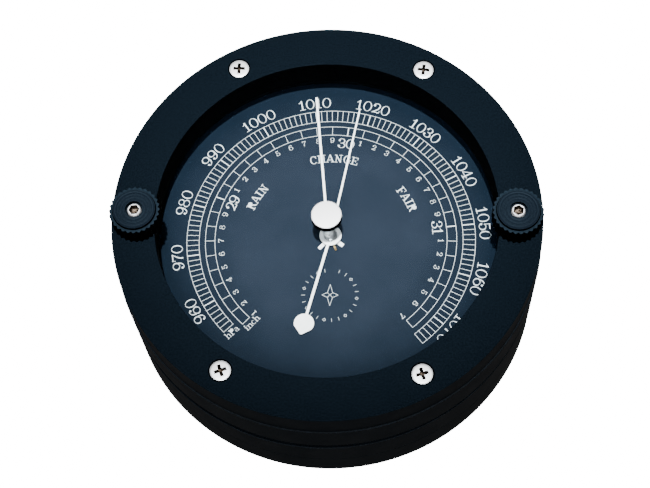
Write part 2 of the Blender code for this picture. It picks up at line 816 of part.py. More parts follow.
def make_pillars(movement):
    stop = DIAL_LOW - GAP
    profile = [
        (0, stop),
        (1.6 * MM, stop),
        (1.6 * MM, TOP_PLATE_LOW - GAP),
        (2.1 * MM, TOP_PLATE_LOW - GAP),
        (2.1 * MM, LOWER_PLATE_LOW - GAP),
        (2.6 * MM, LOWER_PLATE_LOW - GAP),
        (2.6 * MM, BASE_TOP + GAP),
        (MM + GAP, BASE_TOP + GAP),
        (MM + GAP, BASE_TOP + 6 * MM),
        (0, BASE_TOP + 6 * MM),
    ]
    screw_profile = [
        (0, BASE_TOP + 5.5 * MM),
        (MM, BASE_TOP + 5.5 * MM),
        (MM, BASE_LOW - GAP),
        (2.2 * MM, BASE_LOW - GAP),
        (2.2 * MM, BASE_LOW - MM),
        (0, BASE_LOW - MM),
    ]
    for number, angle in enumerate(PILLAR_ANGLES, 1):
        x, y = clock(PILLAR_CIRCLE, radians(angle))
        turned(f"pillar_{number}", profile, 16, BRASS, False, movement, (x, y, 0))
        turned(f"pillar_screw_{number}", screw_profile, 12, STEEL, False, movement, (x, y, 0))


def make_pinion(movement):
    arbor = turned(
        "pinion_arbor",
        [
            (0, BOSS_TOP + 0.2 * MM),
            (SHAFT_RADIUS, BOSS_TOP + 0.2 * MM),
            (SHAFT_RADIUS, TOP_PLATE_TOP + 1.6 * MM),
            (1.3 * MM, TOP_PLATE_TOP + 1.6 * MM),
            (1.3 * MM, TOP_PLATE_TOP + 0.4 * MM),
            (SHAFT_RADIUS, TOP_PLATE_TOP + 0.4 * MM),
            (SHAFT_RADIUS, LOWER_PLATE_LOW + 0.2 * MM),
            (0, LOWER_PLATE_LOW + 0.2 * MM),
        ],
        16,
        STEEL,
        ring=False,
        parent=movement,
    )
    tip = PINION_PITCH_RADIUS + GEAR_DEPTH
    outline = toothed(tip, 2 * GEAR_DEPTH, PINION_TEETH, 0.14)
    teeth = flat("pinion_teeth", [outline], 20.4 * MM, 22.6 * MM, parent=movement)
    combine(arbor, as_mesh(teeth), "UNION")


def make_hairspring(movement):
    turns = 4
    count = 16 * turns
    inner = 1.5 * MM
    outer = 6.6 * MM
    half = 0.09 * MM
    centre_line = []
    for i in range(count + 1):
        centre_line.append((inner + (outer - inner) * i / count, 2 * pi * turns * i / count))
    outside = [clock(r + half, a) for r, a in centre_line]
    inside = [clock(r - half, a) for r, a in reversed(centre_line)]
    low = TOP_PLATE_TOP + 0.6 * MM
    flat("hairspring", [outside + inside], low, low + 0.7 * MM, BRONZE, movement)
    rod("hairspring_stud", 0.7 * MM, TOP_PLATE_TOP + GAP, low + 1.2 * MM, 12, BRASS, movement, 0, outer + MM)


def make_sector(movement):
    """Toothed sector: the gap between two teeth meets the pinion's tooth at rest."""
    tip = SECTOR_PITCH_RADIUS + GEAR_DEPTH
    root = SECTOR_PITCH_RADIUS - GEAR_DEPTH
    pitch = 2 * pi / (PINION_TEETH * GEAR_RATIO)
    half_span = 7
    outline = []
    for tooth in range(-half_span, half_span):
        start = tooth * pitch
        for part, radius in ((0.2, root), (0.42, tip), (0.58, tip), (0.8, root)):
            outline.append(clock(radius, start + part * pitch))
    hub = 3.0 * MM
    tail_half = 1.7 * MM
    outline += [clock(hub, radians(a)) for a in (70, 105, 140)]
    tail_end = -(SECTOR_TAIL + 2.6 * MM)
    outline += [(tail_half, tail_end), (-tail_half, tail_end)]
    outline += [clock(hub, radians(a)) for a in (220, 255, 290)]
    slot = rectangle(-0.75 * MM, 0.75 * MM, -(SECTOR_TAIL + 1.4 * MM), -(SECTOR_TAIL - 1.4 * MM))
    inner, outer = 7 * MM, 16.5 * MM
    opening = [clock(outer, radians(a)) for a in (-14, -7, 0, 7, 14)]
    opening += [clock(inner, radians(a)) for a in (12, 0, -12)]
    outlines = [outline, slot, opening]
    sector = as_mesh(flat("sector_gear", outlines, SECTOR_LOW, SECTOR_TOP, BRASS, movement))
    sector.location.y += SECTOR_Y
    low, high = LOWER_PLATE_LOW + 0.2 * MM, TOP_PLATE_TOP - 0.2 * MM
    arbor = rod("sector_arbor", 0.8 * MM, low, high, 16, y=SECTOR_Y)
    combine(sector, arbor, "UNION")


def make_rocker(movement):
    arm_y = SECTOR_Y - SECTOR_TAIL
    near = -16.6 * MM
    far = -35.0 * MM
    pivot = 0.55 * MM
    profile = [
        (0, near),
        (pivot, near),
        (pivot, near - 1.3 * MM),
        (MM, near - 1.3 * MM),
        (MM, far + 1.3 * MM),
        (pivot, far + 1.3 * MM),
        (pivot, far),
        (0, far),
    ]
    shaft = turned("rocking_shaft", profile, 16, STEEL, False, movement, (0, 0, ROCKER_Z))
    shaft.rotation_euler.x = -pi / 2
    shaft = as_mesh(shaft)
    half = MM
    crank = box(
        "crank",
        (-0.4 * MM, CRANK_Y - half, ROCKER_Z - 0.5 * MM),
        (CRANK_REACH + half, CRANK_Y + half, ROCKER_Z + 0.5 * MM),
    )
    reach_top = ROCKER_Z + ROCKER_REACH
    shoulder = reach_top - 1.2 * MM
    arm = box("arm", (-0.9 * MM, arm_y - half, ROCKER_Z), (0.9 * MM, arm_y + half, shoulder))
    pin = rod("arm_pin", 0.5 * MM, shoulder - MM, reach_top + MM, 12, y=arm_y)
    for piece in (crank, arm, pin):
        combine(shaft, piece, "UNION")
    floor = BASE_TOP + GAP
    inset = 0.35 * MM
    top = ROCKER_Z + 1.8 * MM
    bracket = as_mesh(channel("rocker_bracket", near + inset, far - inset, floor, top, 5 * MM, movement))
    bore = as_mesh(rod("bracket_bore", pivot + RUNNING, 14 * MM, 38 * MM, 12))
    bore.data.transform(Matrix.Rotation(pi / 2, 4, "X"))
    bore.data.transform(Matrix.Translation((0, 0, ROCKER_Z)))
    combine(bracket, bore)


def channel(name, near, far, low, high, width, parent):
    """A base with an upright at each end, between two places along Y."""
    wall = 1.0 * MM
    outline = [
        (near, low),
        (near, high),
        (near - wall, high),
        (near - wall, low + wall),
        (far + wall, low + wall),
        (far + wall, high),
        (far, high),
        (far, low),
    ]
    return side_on(name, outline, width, BRASS, parent)


def side_on(name, outline, width, surface, parent):
    """A flat outline drawn in Y and Z, as thick as width along X."""
    made = flat(name, [outline], -width / 2, width / 2, surface, parent)
    made.rotation_euler = (pi / 2, 0, pi / 2)
    return made


def make_capsule(movement):
    middle = (CAPSULE_LOW + CAPSULE_TOP) / 2
    upper = [(0, CAPSULE_TOP), (3.4 * MM, CAPSULE_TOP)]
    waves = 3
    start = 4.2 * MM
    end = CAPSULE_RADIUS - 1.5 * MM
    for i in range(2 * waves + 1):
        drop = 0.9 * MM if i % 2 == 0 else 1.5 * MM
        upper.append((start + (end - start) * i / (2 * waves), CAPSULE_TOP - drop))
    rim = [(CAPSULE_RADIUS, middle + 0.5 * MM), (CAPSULE_RADIUS, middle - 0.5 * MM)]
    lower = [(r, 2 * middle - z) for r, z in reversed(upper)]
    turned("capsule", upper + rim + lower, 28, BRONZE, False, movement)
    turned(
        "capsule_base",
        [
            (0, CAPSULE_LOW - GAP),
            (6 * MM, CAPSULE_LOW - GAP),
            (6 * MM, BASE_TOP + GAP),
            (1.6 * MM, BASE_TOP + GAP),
            (1.6 * MM, BASE_TOP + MM),
            (0, BASE_TOP + MM),
        ],
        24,
        BRASS,
        ring=False,
        parent=movement,
    )
    flange = 3.2 * MM
    flange_low = SPRING_LOW + SPRING_THICK + GAP
    turned(
        "capsule_head",
        [
            (0, LEVER_LOW - GAP),
            (flange, LEVER_LOW - GAP),
            (flange, flange_low),
            (HEAD_NECK, flange_low),
            (HEAD_NECK, CAPSULE_TOP + GAP),
            (0, CAPSULE_TOP + GAP),
        ],
        20,
        BRASS,
        ring=False,
        parent=movement,
    )


def make_lever_and_spring(movement):
    end = CRANK_Y - 1.4 * MM
    half = 1.4 * MM
    side = CRANK_REACH
    hub = [clock(4 * MM, radians(a)) for a in range(205, 516, 20)]
    outline = [(side - half, end), (side + half, end)] + hub[::-1]
    lever = as_mesh(flat("main_lever", [outline], LEVER_LOW, LEVER_TOP, STEEL, movement))
    finger_low = ROCKER_Z + 0.5 * MM + 0.25 * MM
    finger = box(
        "finger",
        (side - 0.5 * MM, CRANK_Y - 0.7 * MM, finger_low),
        (side + 0.5 * MM, CRANK_Y + 0.7 * MM, LEVER_LOW + 0.5 * MM),
    )
    combine(lever, finger, "UNION")
    foot = BASE_TOP + GAP
    near, far = 20 * MM, 33 * MM
    thick = SPRING_THICK
    rise = SPRING_LOW - foot - thick
    bow = [radians(a) for a in range(-90, 91, 18)]
    radius = (rise + 2 * thick) / 2
    centre = foot + radius
    outer = [(far + radius * cos(a), centre + radius * sin(a)) for a in bow]
    inner = [(far + (radius - thick) * cos(a), centre + (radius - thick) * sin(a)) for a in reversed(bow)]
    outline = [(near, foot), *outer, (-3.5 * MM, foot + 2 * radius)]
    outline += [(-3.5 * MM, foot + 2 * radius - thick), *inner, (near, foot + thick)]
    spring = as_mesh(side_on("main_spring", outline, SPRING_WIDTH, BRONZE, movement))
    drill(spring, HEAD_NECK + 2 * RUNNING, SPRING_LOW - 3 * MM, SPRING_LOW + 3 * MM)


def make_calibration_screw(movement):
    screw = turned(
        "calibration_screw",
        [
            (0, BASE_TOP + 0.9 * MM),
            (1.5 * MM, BASE_TOP + 0.9 * MM),
            (1.5 * MM, 2.8 * MM),
            (2.7 * MM, 2.8 * MM),
            (2.7 * MM, 0.8 * MM),
            (0, 0.8 * MM),
        ],
        20,
        BRASS,
        ring=False,
        parent=movement,
    )
    combine(screw, box("screw_slot", (-3 * MM, -0.4 * MM, 0), (3 * MM, 0.4 * MM, 1.6 * MM)))


def main():
    make_bezel_ring()
    make_front_ring()
    make_seal_ring()
    make_middle_ring()
    make_back_plate()
    make_bezel_screws()
    make_back_screws()
    make_studs()
    make_thumb_nuts()
    make_window()
    make_set_hand()
    movement = empty("movement", MOVEMENT_X, MOVEMENT_Y)
    bpy.context.view_layer.update()
    make_dial(movement)
    make_indicator_hand(movement)
    make_plates(movement)
    make_pillars(movement)
    make_pinion(movement)
    make_hairspring(movement)
    make_sector(movement)
    make_rocker(movement)
    make_capsule(movement)
    make_lever_and_spring(movement)
    make_calibration_screw(movement)


main()
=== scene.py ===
"""Looks of the aneroid barometer: smooth turned pieces, the dial's print, materials, light and camera.

Lengths are in metres. Clock angles run clockwise from twelve o'clock, in radians unless a name says degrees.
"""

from math import atan2, cos, hypot, pi, radians, sin, sqrt

import bmesh
import bpy
from mathutils import Matrix, Vector
from mathutils.geometry import delaunay_2d_cdt


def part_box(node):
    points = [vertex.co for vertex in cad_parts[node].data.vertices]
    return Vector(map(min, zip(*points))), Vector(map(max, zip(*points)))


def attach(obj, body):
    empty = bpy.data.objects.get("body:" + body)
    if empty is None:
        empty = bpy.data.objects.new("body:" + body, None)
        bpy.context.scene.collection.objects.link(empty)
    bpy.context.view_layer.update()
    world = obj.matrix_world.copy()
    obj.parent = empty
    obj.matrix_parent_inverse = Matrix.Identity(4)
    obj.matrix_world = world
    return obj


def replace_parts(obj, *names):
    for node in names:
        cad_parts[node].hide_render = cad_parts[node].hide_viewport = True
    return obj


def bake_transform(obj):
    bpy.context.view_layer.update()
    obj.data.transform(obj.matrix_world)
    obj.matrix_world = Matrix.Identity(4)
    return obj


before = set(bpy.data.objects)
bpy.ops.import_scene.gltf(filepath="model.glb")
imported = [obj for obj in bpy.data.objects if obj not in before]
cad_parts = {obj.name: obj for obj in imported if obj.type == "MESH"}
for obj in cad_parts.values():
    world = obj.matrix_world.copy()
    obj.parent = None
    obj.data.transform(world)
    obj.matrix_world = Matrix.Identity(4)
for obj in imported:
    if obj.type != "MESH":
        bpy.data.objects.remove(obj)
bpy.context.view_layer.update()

MM = 0.001
STEPS = 384
SMOOTH_UNDER = radians(40)


# ---- sizes read from the frame


def low(node):
    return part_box(node)[0].z


def high(node):
    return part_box(node)[1].z


def ends(node):
    """A node's top and bottom."""
    return high(node), low(node)


def radius_of(node):
    corner_low, corner_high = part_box(node)
    return (corner_high.x - corner_low.x) / 2


def centre_of(node):
    corner_low, corner_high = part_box(node)
    middle = (corner_low + corner_high) / 2
    return middle.x, middle.y


TOP = high("bezel_ring")
BEZEL_LOW = low("bezel_ring")
BEZEL_RADIUS = radius_of("bezel_ring")
BODY_RADIUS = radius_of("back_plate")
DIAL_TOP = high("dial_plate")
MOVEMENT = centre_of("indicator_boss")
WINDOW_RADIUS = 47.95 * MM
BORE_RADIUS = 50.8 * MM
FASTENER_NODES = [f"bezel_screw_{i}" for i in (1, 2, 3, 4)]
BACK_SCREW_NODES = [f"back_screw_{i}" for i in (1, 2, 3, 4)]
SIDES = ("left", "right")


# ---- shapes


def clock(radius, angle):
    return radius * sin(angle), radius * cos(angle)


def put(name, data, place=(0, 0, 0), spin=0.0):
    """A new object in the scene."""
    made = bpy.data.objects.new(name, data)
    made.location = place
    made.rotation_euler.z = spin
    bpy.context.scene.collection.objects.link(made)
    return made


def add(name, data, material, body="case", smooth=True, place=(0, 0, 0), spin=0.0):
    """A new piece in place, riding on its CAD body. A shape that is used again keeps its materials."""
    data.name = name
    if not data.materials:
        data.materials.append(material)
    if smooth:
        data.polygons.foreach_set("use_smooth", [True] * len(data.polygons))
        data.set_sharp_from_angle(angle=SMOOTH_UNDER)
    made = put(name, data, place, spin)
    if body:
        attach(made, body)
    return made


def paint_faces(data, material, chosen):
    """Gives another material to faces, chosen by distance from Z, height and how far they look up."""
    data.materials.append(material)
    index = len(data.materials) - 1
    for polygon in data.polygons:
        middle = polygon.center
        if chosen(hypot(middle.x, middle.y), middle.z, polygon.normal.z):
            polygon.material_index = index


def even_normals(piece):
    """Shades wide faces flat and leaves the turn of the light to the narrow rounded edges."""
    weighted = piece.modifiers.new("even_normals", "WEIGHTED_NORMAL")
    weighted.keep_sharp = True
    weighted.weight = 80
    return piece


def rounded(profile, radii):
    """A profile with each corner turned into a short arc. A radius of 0 leaves a corner as it is."""
    made = []
    for i, (corner, radius) in enumerate(zip(profile, radii)):
        at = Vector(corner)
        if radius == 0:
            made.append(tuple(at))
            continue
        before = Vector(profile[i - 1]) - at
        after = Vector(profile[(i + 1) % len(profile)]) - at
        reach = min(radius, before.length * 0.45, after.length * 0.45)
        start = at + before.normalized() * reach
        stop = at + after.normalized() * reach
        for t in (0, 1 / 3, 2 / 3, 1):
            made.append(tuple(start * (1 - t) ** 2 + at * 2 * t * (1 - t) + stop * t**2))
    return made


def finished(mesh):
    """A closed bmesh as mesh data, with its faces turned outwards."""
    bmesh.ops.recalc_face_normals(mesh, faces=mesh.faces)
    data = bpy.data.meshes.new("shape")
    mesh.to_mesh(data)
    mesh.free()
    return data


def skinned(rings):
    """A skin through rings that all have as many points, with a face across both ends."""
    mesh = bmesh.new()
    rows = [[mesh.verts.new(point) for point in ring] for ring in rings]
    mesh.faces.new(rows[0])
    mesh.faces.new(rows[-1][::-1])
    for first, second in zip(rows, rows[1:]):
        for i, corner in enumerate(first):
            following = (i + 1) % len(first)
            mesh.faces.new((corner, second[i], second[following], first[following]))
    return finished(mesh)


def lofted(levels, steps, closed):
    """A mesh round Z from rings of (radius, height). A radius can be a function of the turn."""
    mesh = bmesh.new()
    rings = []
    for radius, height in levels:
        if radius == 0:
            rings.append([mesh.verts.new((0, 0, height))])
            continue
        ring = []
        for step in range(steps):
            turn = 2 * pi * step / steps
            reach = radius(turn) if callable(radius) else radius
            ring.append(mesh.verts.new((reach * cos(turn), reach * sin(turn), height)))
        rings.append(ring)
    pairs = list(zip(rings, rings[1:]))
    if closed:
        pairs.append((rings[-1], rings[0]))
    for upper, lower in pairs:
        for step in range(steps):
            following = (step + 1) % steps
            if len(upper) == 1:
                mesh.faces.new((upper[0], lower[step], lower[following]))
            elif len(lower) == 1:
                mesh.faces.new((upper[step], lower[0], upper[following]))
            else:
                mesh.faces.new((upper[step], lower[step], lower[following], upper[following]))
    return finished(mesh)


def drill(radius, top, bottom, steps):
    """A plain cylinder round Z, to cut a hole with."""
    return lofted([(0, top), (radius, top), (radius, bottom), (0, bottom)], steps, False)


def flat_shape(outlines, bottom, top):
    """A plate between two heights with softened edges. Outlines after the first are holes."""
    bevel = 0.05 * MM
    curve = bpy.data.curves.new("flat", "CURVE")
    curve.dimensions = "2D"
    curve.fill_mode = "BOTH"
    curve.extrude = (top - bottom) / 2 - bevel
    curve.bevel_depth = bevel
    curve.bevel_resolution = 2
    curve.offset = -bevel
    for outline in outlines:
        spline = curve.splines.new("POLY")
        spline.points.add(len(outline) - 1)
        for point, (x, y) in zip(spline.points, outline):
            point.co = (x, y, 0, 1)
        spline.use_cyclic_u = True
    holder = put("flat", curve)
    bpy.context.view_layer.update()
    data = bpy.data.meshes.new_from_object(holder)
    bpy.data.objects.remove(holder, do_unlink=True)
    bpy.data.curves.remove(curve)
    mesh = bmesh.new()
    mesh.from_mesh(data)
    bmesh.ops.remove_doubles(mesh, verts=mesh.verts, dist=1e-6)
    bmesh.ops.recalc_face_normals(mesh, faces=mesh.faces)
    mesh.transform(Matrix.Translation((0, 0, (top + bottom) / 2)))
    mesh.to_mesh(data)
    mesh.free()
    return data


def ring_points(radius, count, x=0.0, y=0.0):
    turns = [2 * pi * i / count for i in range(count)]
    return [(x + radius * cos(turn), y + radius * sin(turn)) for turn in turns]


def cut(data, cutters):
    """The mesh with each cutter taken away. A cutter is (mesh,) or (mesh, place, spin)."""
    target = put("cut_target", data)
    tools = [put("cutter", *cutter) for cutter in cutters]
    for tool in tools:
        target.modifiers.new("cut", "BOOLEAN").object = tool
    bpy.context.view_layer.update()
    evaluated = target.evaluated_get(bpy.context.evaluated_depsgraph_get())
    result = bpy.data.meshes.new_from_object(evaluated)
    for used in [target, *tools]:
        bpy.data.objects.remove(used, do_unlink=True)
    return result


# ---- materials


def set_ramp(ramp, *stops):
    """Sets both stops of a colour ramp, each to a position and a colour."""
    for element, (position, colour) in zip(ramp.color_ramp.elements, stops):
        element.position = position
        element.color = (*colour, 1)


class Nodes:
    """A material's nodes, with short ways to add the ones used here."""

    def __init__(self, name):
        self.material = bpy.data.materials.new(name)
        self.material.use_nodes = True
        self.tree = self.material.node_tree
        self.shader = self.tree.nodes["Principled BSDF"]
        self.output = self.tree.nodes["Material Output"]
        self.place = self.add("ShaderNodeTexCoord").outputs["Object"]

    def add(self, kind, values=None, **settings):
        """A new node with these settings, its inputs set to these values."""
        node = self.tree.nodes.new(kind)
        for key, value in settings.items():
            setattr(node, key, value)
        for key, value in (values or {}).items():
            node.inputs[key].default_value = value
        return node

    def link(self, source, target):
        self.tree.links.new(source, target)

    def set(self, **values):
        for key, value in values.items():
            self.shader.inputs[key.replace("_", " ")].default_value = value

    def noise(self, scale, detail=2.0, stretch=None, rough=0.5):
        node = self.add("ShaderNodeTexNoise", {"Scale": scale, "Detail": detail, "Roughness": rough})
        place = self.place
        if stretch:
            mapping = self.add("ShaderNodeMapping", {"Scale": stretch})
            self.link(place, mapping.inputs["Vector"])
            place = mapping.outputs["Vector"]
        self.link(place, node.inputs["Vector"])
        return node.outputs["Fac"]

    def radius(self, centre):
        """Distance from an upright axis."""
        shift = self.add("ShaderNodeVectorMath", {1: (*centre, 0)}, operation="SUBTRACT")
        flatten = self.add("ShaderNodeVectorMath", {1: (1, 1, 0)}, operation="MULTIPLY")
        length = self.add("ShaderNodeVectorMath", operation="LENGTH")
        self.link(self.place, shift.inputs[0])
        self.link(shift.outputs["Vector"], flatten.inputs[0])
        self.link(flatten.outputs["Vector"], length.inputs[0])
        return length.outputs["Value"]

    def around(self, centre, scale):
        """Fine rings around an upright axis, as a lathe leaves."""
        node = self.add("ShaderNodeTexNoise", {"Scale": scale, "Detail": 3.0}, noise_dimensions="1D")
        self.link(self.radius(centre), node.inputs["W"])
        return node.outputs["Fac"]

    def spread(self, source, least, most):
        """The source's middle range stretched between two values."""
        middle = {"From Min": 0.3, "From Max": 0.7}
        node = self.add("ShaderNodeMapRange", {**middle, "To Min": least, "To Max": most})
        self.link(source, node.inputs["Value"])
        return node.outputs["Result"]

    def blend(self, source, first, second, start=0.35, stop=0.65):
        """A colour between two, by the source."""
        ramp = self.add("ShaderNodeValToRGB")
        set_ramp(ramp, (start, first), (stop, second))
        self.link(source, ramp.inputs["Fac"])
        return ramp.outputs["Color"]

    def mean(self, first, second):
        """Half the sum of two sources."""
        total = self.add("ShaderNodeMath", operation="ADD")
        half = self.add("ShaderNodeMath", {1: 0.5}, operation="MULTIPLY")
        self.link(first, total.inputs[0])
        self.link(second, total.inputs[1])
        self.link(total.outputs["Value"], half.inputs[0])
        return half.outputs["Value"]

    def colour(self, source):
        self.link(source, self.shader.inputs["Base Color"])

    def roughness(self, source):
        self.link(source, self.shader.inputs["Roughness"])

    def bump(self, source, depth, strength=1.0, under=None):
        node = self.add("ShaderNodeBump", {"Strength": strength, "Distance": depth})
        self.link(source, node.inputs["Height"])
        if under:
            self.link(under, node.inputs["Normal"])
        return node.outputs["Normal"]

    def normal(self, source):
        self.link(source, self.shader.inputs["Normal"])


def black_case_material(name, sheen, tint):
    """Fine-blasted metal, black with a cold tint, a little lighter where the grain stands up."""
    made = Nodes(name)
    grain = made.noise(2600, 2.0, rough=0.65)
    made.colour(made.blend(grain, (0.0003, 0.001, 0.0019), (0.0022, 0.0042, 0.0068), 0.38, 0.62))
    made.roughness(made.spread(made.noise(140, 2.0), 0.61, 0.69))
    made.normal(made.bump(grain, 0.03 * MM, 0.3, made.bump(made.noise(6000, 1.0), 0.012 * MM, 0.3)))
    made.set(Specular_IOR_Level=sheen, Specular_Tint=tint)
    return made.material


def black_turned_material(name, dark, light):
    """The same black on a lathe-turned face: fine rings around the piece's own axis, under a fine grain."""
    made = Nodes(name)
    rings = made.around((0, 0), 2600)
    grain = made.noise(2600, 2.0, rough=0.65)
    made.colour(made.blend(made.mean(rings, grain), dark, light, 0.4, 0.6))
    made.roughness(made.spread(rings, 0.4, 0.5))
    made.normal(made.bump(rings, 0.012 * MM, 0.4, made.bump(grain, 0.02 * MM, 0.3)))
    made.set(Specular_IOR_Level=0.05, Specular_Tint=(0.55, 0.78, 1, 1))
    return made.material


def black_bore_material():
    """A duller, darker copy of the black as painted shade, for walls, sides and hollows that lie in shade: no
    sheen, faint marks across them.
    """
    made = Nodes("black_painted_shade")
    marks = made.noise(1800, 3.0, (1, 1, 0.15))
    made.colour(made.blend(marks, (0.0001, 0.0002, 0.0003), (0.0004, 0.0006, 0.0008)))
    made.roughness(made.spread(marks, 0.7, 0.85))
    made.normal(made.bump(marks, 0.01 * MM, 0.3))
    made.set(Specular_IOR_Level=0.003)
    return made.material


def mottled_material(name, paint, roughness, grain, ramp=(0.35, 0.65), **settings):
    """A plain surface from three noises. Each has its scale first, then what it varies between."""
    made = Nodes(name)
    scale, detail, first, second = paint
    made.colour(made.blend(made.noise(scale, detail), first, second, *ramp))
    made.roughness(made.spread(made.noise(roughness[0]), *roughness[1:]))
    made.normal(made.bump(made.noise(grain[0]), *grain[1:]))
    made.set(**settings)
    return made.material


def white_material(name, least, most, tones):
    return mottled_material(name, (700, 3.0, *tones), (400, least, most), (1500, 0.006 * MM, 0.3))


def slate_material():
    """The dial's matt paint: cold slate with a very fine tooth and faint clouding, painted lighter in the
    middle as a painted reflection of the glass and darker, bluer towards the rim as painted shade from the
    case walls.
    """
    made = Nodes("slate_dial")
    clouding = made.mean(made.noise(90, 4.0), made.noise(4600, 0.0))
    # Painted light: the middle colour holds a painted reflection of the glass, the rim colour painted shade
    # from the case walls.
    shade = made.add("ShaderNodeMix", data_type="RGBA")
    centre_glare_rim_shade = made.blend(made.radius((0, 0)), (0, 0, 0), (1, 1, 1), 0.027, 0.0475)
    made.link(centre_glare_rim_shade, shade.inputs["Factor"])
    made.link(made.blend(clouding, (0.0082, 0.0124, 0.02), (0.012, 0.0168, 0.0264)), shade.inputs[6])
    made.link(made.blend(clouding, (0.0025, 0.0057, 0.0106), (0.0039, 0.0079, 0.0144)), shade.inputs[7])
    made.colour(shade.outputs[2])
    made.roughness(made.spread(made.noise(260), 0.46, 0.54))
    made.normal(made.bump(made.noise(4500, 2.0), 0.006 * MM, 0.05))
    made.set(Specular_IOR_Level=0.02, Specular_Tint=(0.6, 0.8, 1, 1))
    return made.material


def turned_metal(name, first, second, centre, roughness):
    """Lathe-turned metal: rings around one axis in its roughness and its surface."""
    made = Nodes(name)
    rings = made.around(centre, 9000)
    made.colour(made.blend(rings, first, second))
    made.roughness(made.spread(rings, roughness - 0.07, roughness + 0.07))
    made.normal(made.bump(rings, 0.006 * MM, 0.5, made.bump(made.noise(1200), 0.004 * MM, 0.4)))
    made.set(Metallic=1.0)
    return made.material


def rolled_metal(name, first, second, roughness, along=(0.05, 1, 1)):
    """Sheet metal with a grain along one direction."""
    made = Nodes(name)
    grain = made.noise(2500, 3.0, along)
    made.colour(made.blend(made.noise(120, 3.0), first, second))
    made.roughness(made.spread(grain, roughness - 0.08, roughness + 0.1))
    made.normal(made.bump(grain, 0.008 * MM, 0.4))
    made.set(Metallic=1.0)
    return made.material


def glass_material():
    """Clear coated glass with a faint, sharp sheen. It doesn't bend light."""
    made = Nodes("clear_glass")
    made.tree.nodes.remove(made.shader)
    clear = made.add("ShaderNodeBsdfTransparent", {"Color": (0.975, 0.988, 0.985, 1)})
    gloss = made.add("ShaderNodeBsdfGlossy", {"Color": (1, 1, 1, 1)})
    made.link(made.spread(made.noise(35), 0.02, 0.05), gloss.inputs["Roughness"])
    fresnel = made.add("ShaderNodeFresnel", {"IOR": 1.15})
    mix = made.add("ShaderNodeMixShader")
    made.link(fresnel.outputs["Fac"], mix.inputs["Fac"])
    made.link(clear.outputs["BSDF"], mix.inputs[1])
    made.link(gloss.outputs["BSDF"], mix.inputs[2])
    made.link(mix.outputs["Shader"], made.output.inputs["Surface"])
    return made.material


STEEL_TONES = ((0.8, 0.81, 0.83), (0.9, 0.91, 0.92))
BRASS_TONES = ((0.62, 0.43, 0.17), (0.78, 0.58, 0.28))
BRONZE_TONES = ((0.42, 0.3, 0.18), (0.58, 0.43, 0.27))

BLACK = black_case_material("black_case", 0.03, (0.5, 0.75, 1, 1))
BLACK_SIDE = black_case_material("black_side", 0.05, (1, 0.95, 0.88, 1))
BLACK_TURNED = black_turned_material("black_turned", (0.0018, 0.0034, 0.0059), (0.0042, 0.0072, 0.011))
BLACK_RIM = black_turned_material("black_rim", (0.0034, 0.0068, 0.0105), (0.0078, 0.013, 0.019))
BLACK_PAINTED_SHADE = black_bore_material()
# The recess colours are painted shade: dark brown-grey where the screw and stud recesses lie in shade.
RECESS_SHADE_PAINT = (1600, 3.0, (0.002, 0.0015, 0.0012), (0.11, 0.085, 0.065))
RECESS_GRAIN = (2200, 0.01 * MM, 0.4)
SHADED_RECESS_STEEL = mottled_material(
    "recess_steel_painted_shade", RECESS_SHADE_PAINT, (500, 0.4, 0.6), RECESS_GRAIN, (0.45, 0.75), Metallic=1.0
)
RUBBER_PAINT = (900, 2.0, (0.0015, 0.0016, 0.0018), (0.004, 0.0042, 0.0045))
RUBBER_GRAIN = (1800, 0.02 * MM, 0.4)
RUBBER = mottled_material(
    "black_rubber", RUBBER_PAINT, (500, 0.7, 0.9), RUBBER_GRAIN, Specular_IOR_Level=0.15
)
SLATE = slate_material()
PRINT = white_material("dial_print_white", 0.45, 0.58, ((0.52, 0.56, 0.59), (0.58, 0.61, 0.63)))
ENAMEL = white_material("hand_white", 0.3, 0.43, ((0.9, 0.91, 0.92), (0.96, 0.96, 0.96)))
GLASS = glass_material()
STEEL = turned_metal("bright_steel", *STEEL_TONES, (0, 0), 0.54)
BOSS_STEEL = turned_metal("boss_steel", *STEEL_TONES, (0, 0), 0.3)
WIRE_STEEL = rolled_metal("wire_steel", *STEEL_TONES, 0.35)
BRASS = rolled_metal("brass", *BRASS_TONES, 0.36)
BRONZE = rolled_metal("spring_bronze", *BRONZE_TONES, 0.42, (1, 0.05, 1))


# ---- case


def make_bezel():
    soft = 0.16 * MM
    gasket_top = high("glass_gasket") + 0.05 * MM
    recess_in, recess_out = 48.75 * MM, 50.45 * MM
    profile = [
        (WINDOW_RADIUS, TOP), (BEZEL_RADIUS, TOP), (BEZEL_RADIUS, BEZEL_LOW), (recess_out, BEZEL_LOW),
        (recess_out, gasket_top), (recess_in, gasket_top), (recess_in, BEZEL_LOW),
        (WINDOW_RADIUS, BEZEL_LOW),
    ]
    body = lofted(rounded(profile, [soft, soft, soft, 0, 0, 0, 0, soft / 2]), STEPS, True)
    mouth = 3.25 * MM
    shank = 1.55 * MM
    sink = [
        (0, TOP + MM), (mouth, TOP + MM), (mouth, TOP - 0.1 * MM),
        (shank, TOP - 0.1 * MM - (mouth - shank)), (shank, BEZEL_LOW - MM), (0, BEZEL_LOW - MM),
    ]
    hole = drill(1.3 * MM, TOP + MM, BEZEL_LOW - MM, 24)
    cutters = [(lofted(sink, 48, False), (*centre_of(node), 0), 0.1) for node in FASTENER_NODES]
    cutters += [(hole, (*centre_of(f"stud_{side}"), 0), 0.1) for side in SIDES]
    bezel = add("bezel", cut(body, cutters), BLACK)
    inside, wall = BEZEL_RADIUS - 1.5 * MM, BEZEL_RADIUS - 0.02 * MM
    # The window wall and the countersink cones get the darker black as painted shade.
    paint_faces(bezel.data, BLACK_PAINTED_SHADE, lambda out, height, up: abs(up) < 0.8 and out < inside)
    paint_faces(bezel.data, BLACK_SIDE, lambda out, height, up: abs(up) < 0.3 and out > wall)
    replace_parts(even_normals(bezel), "bezel_ring")


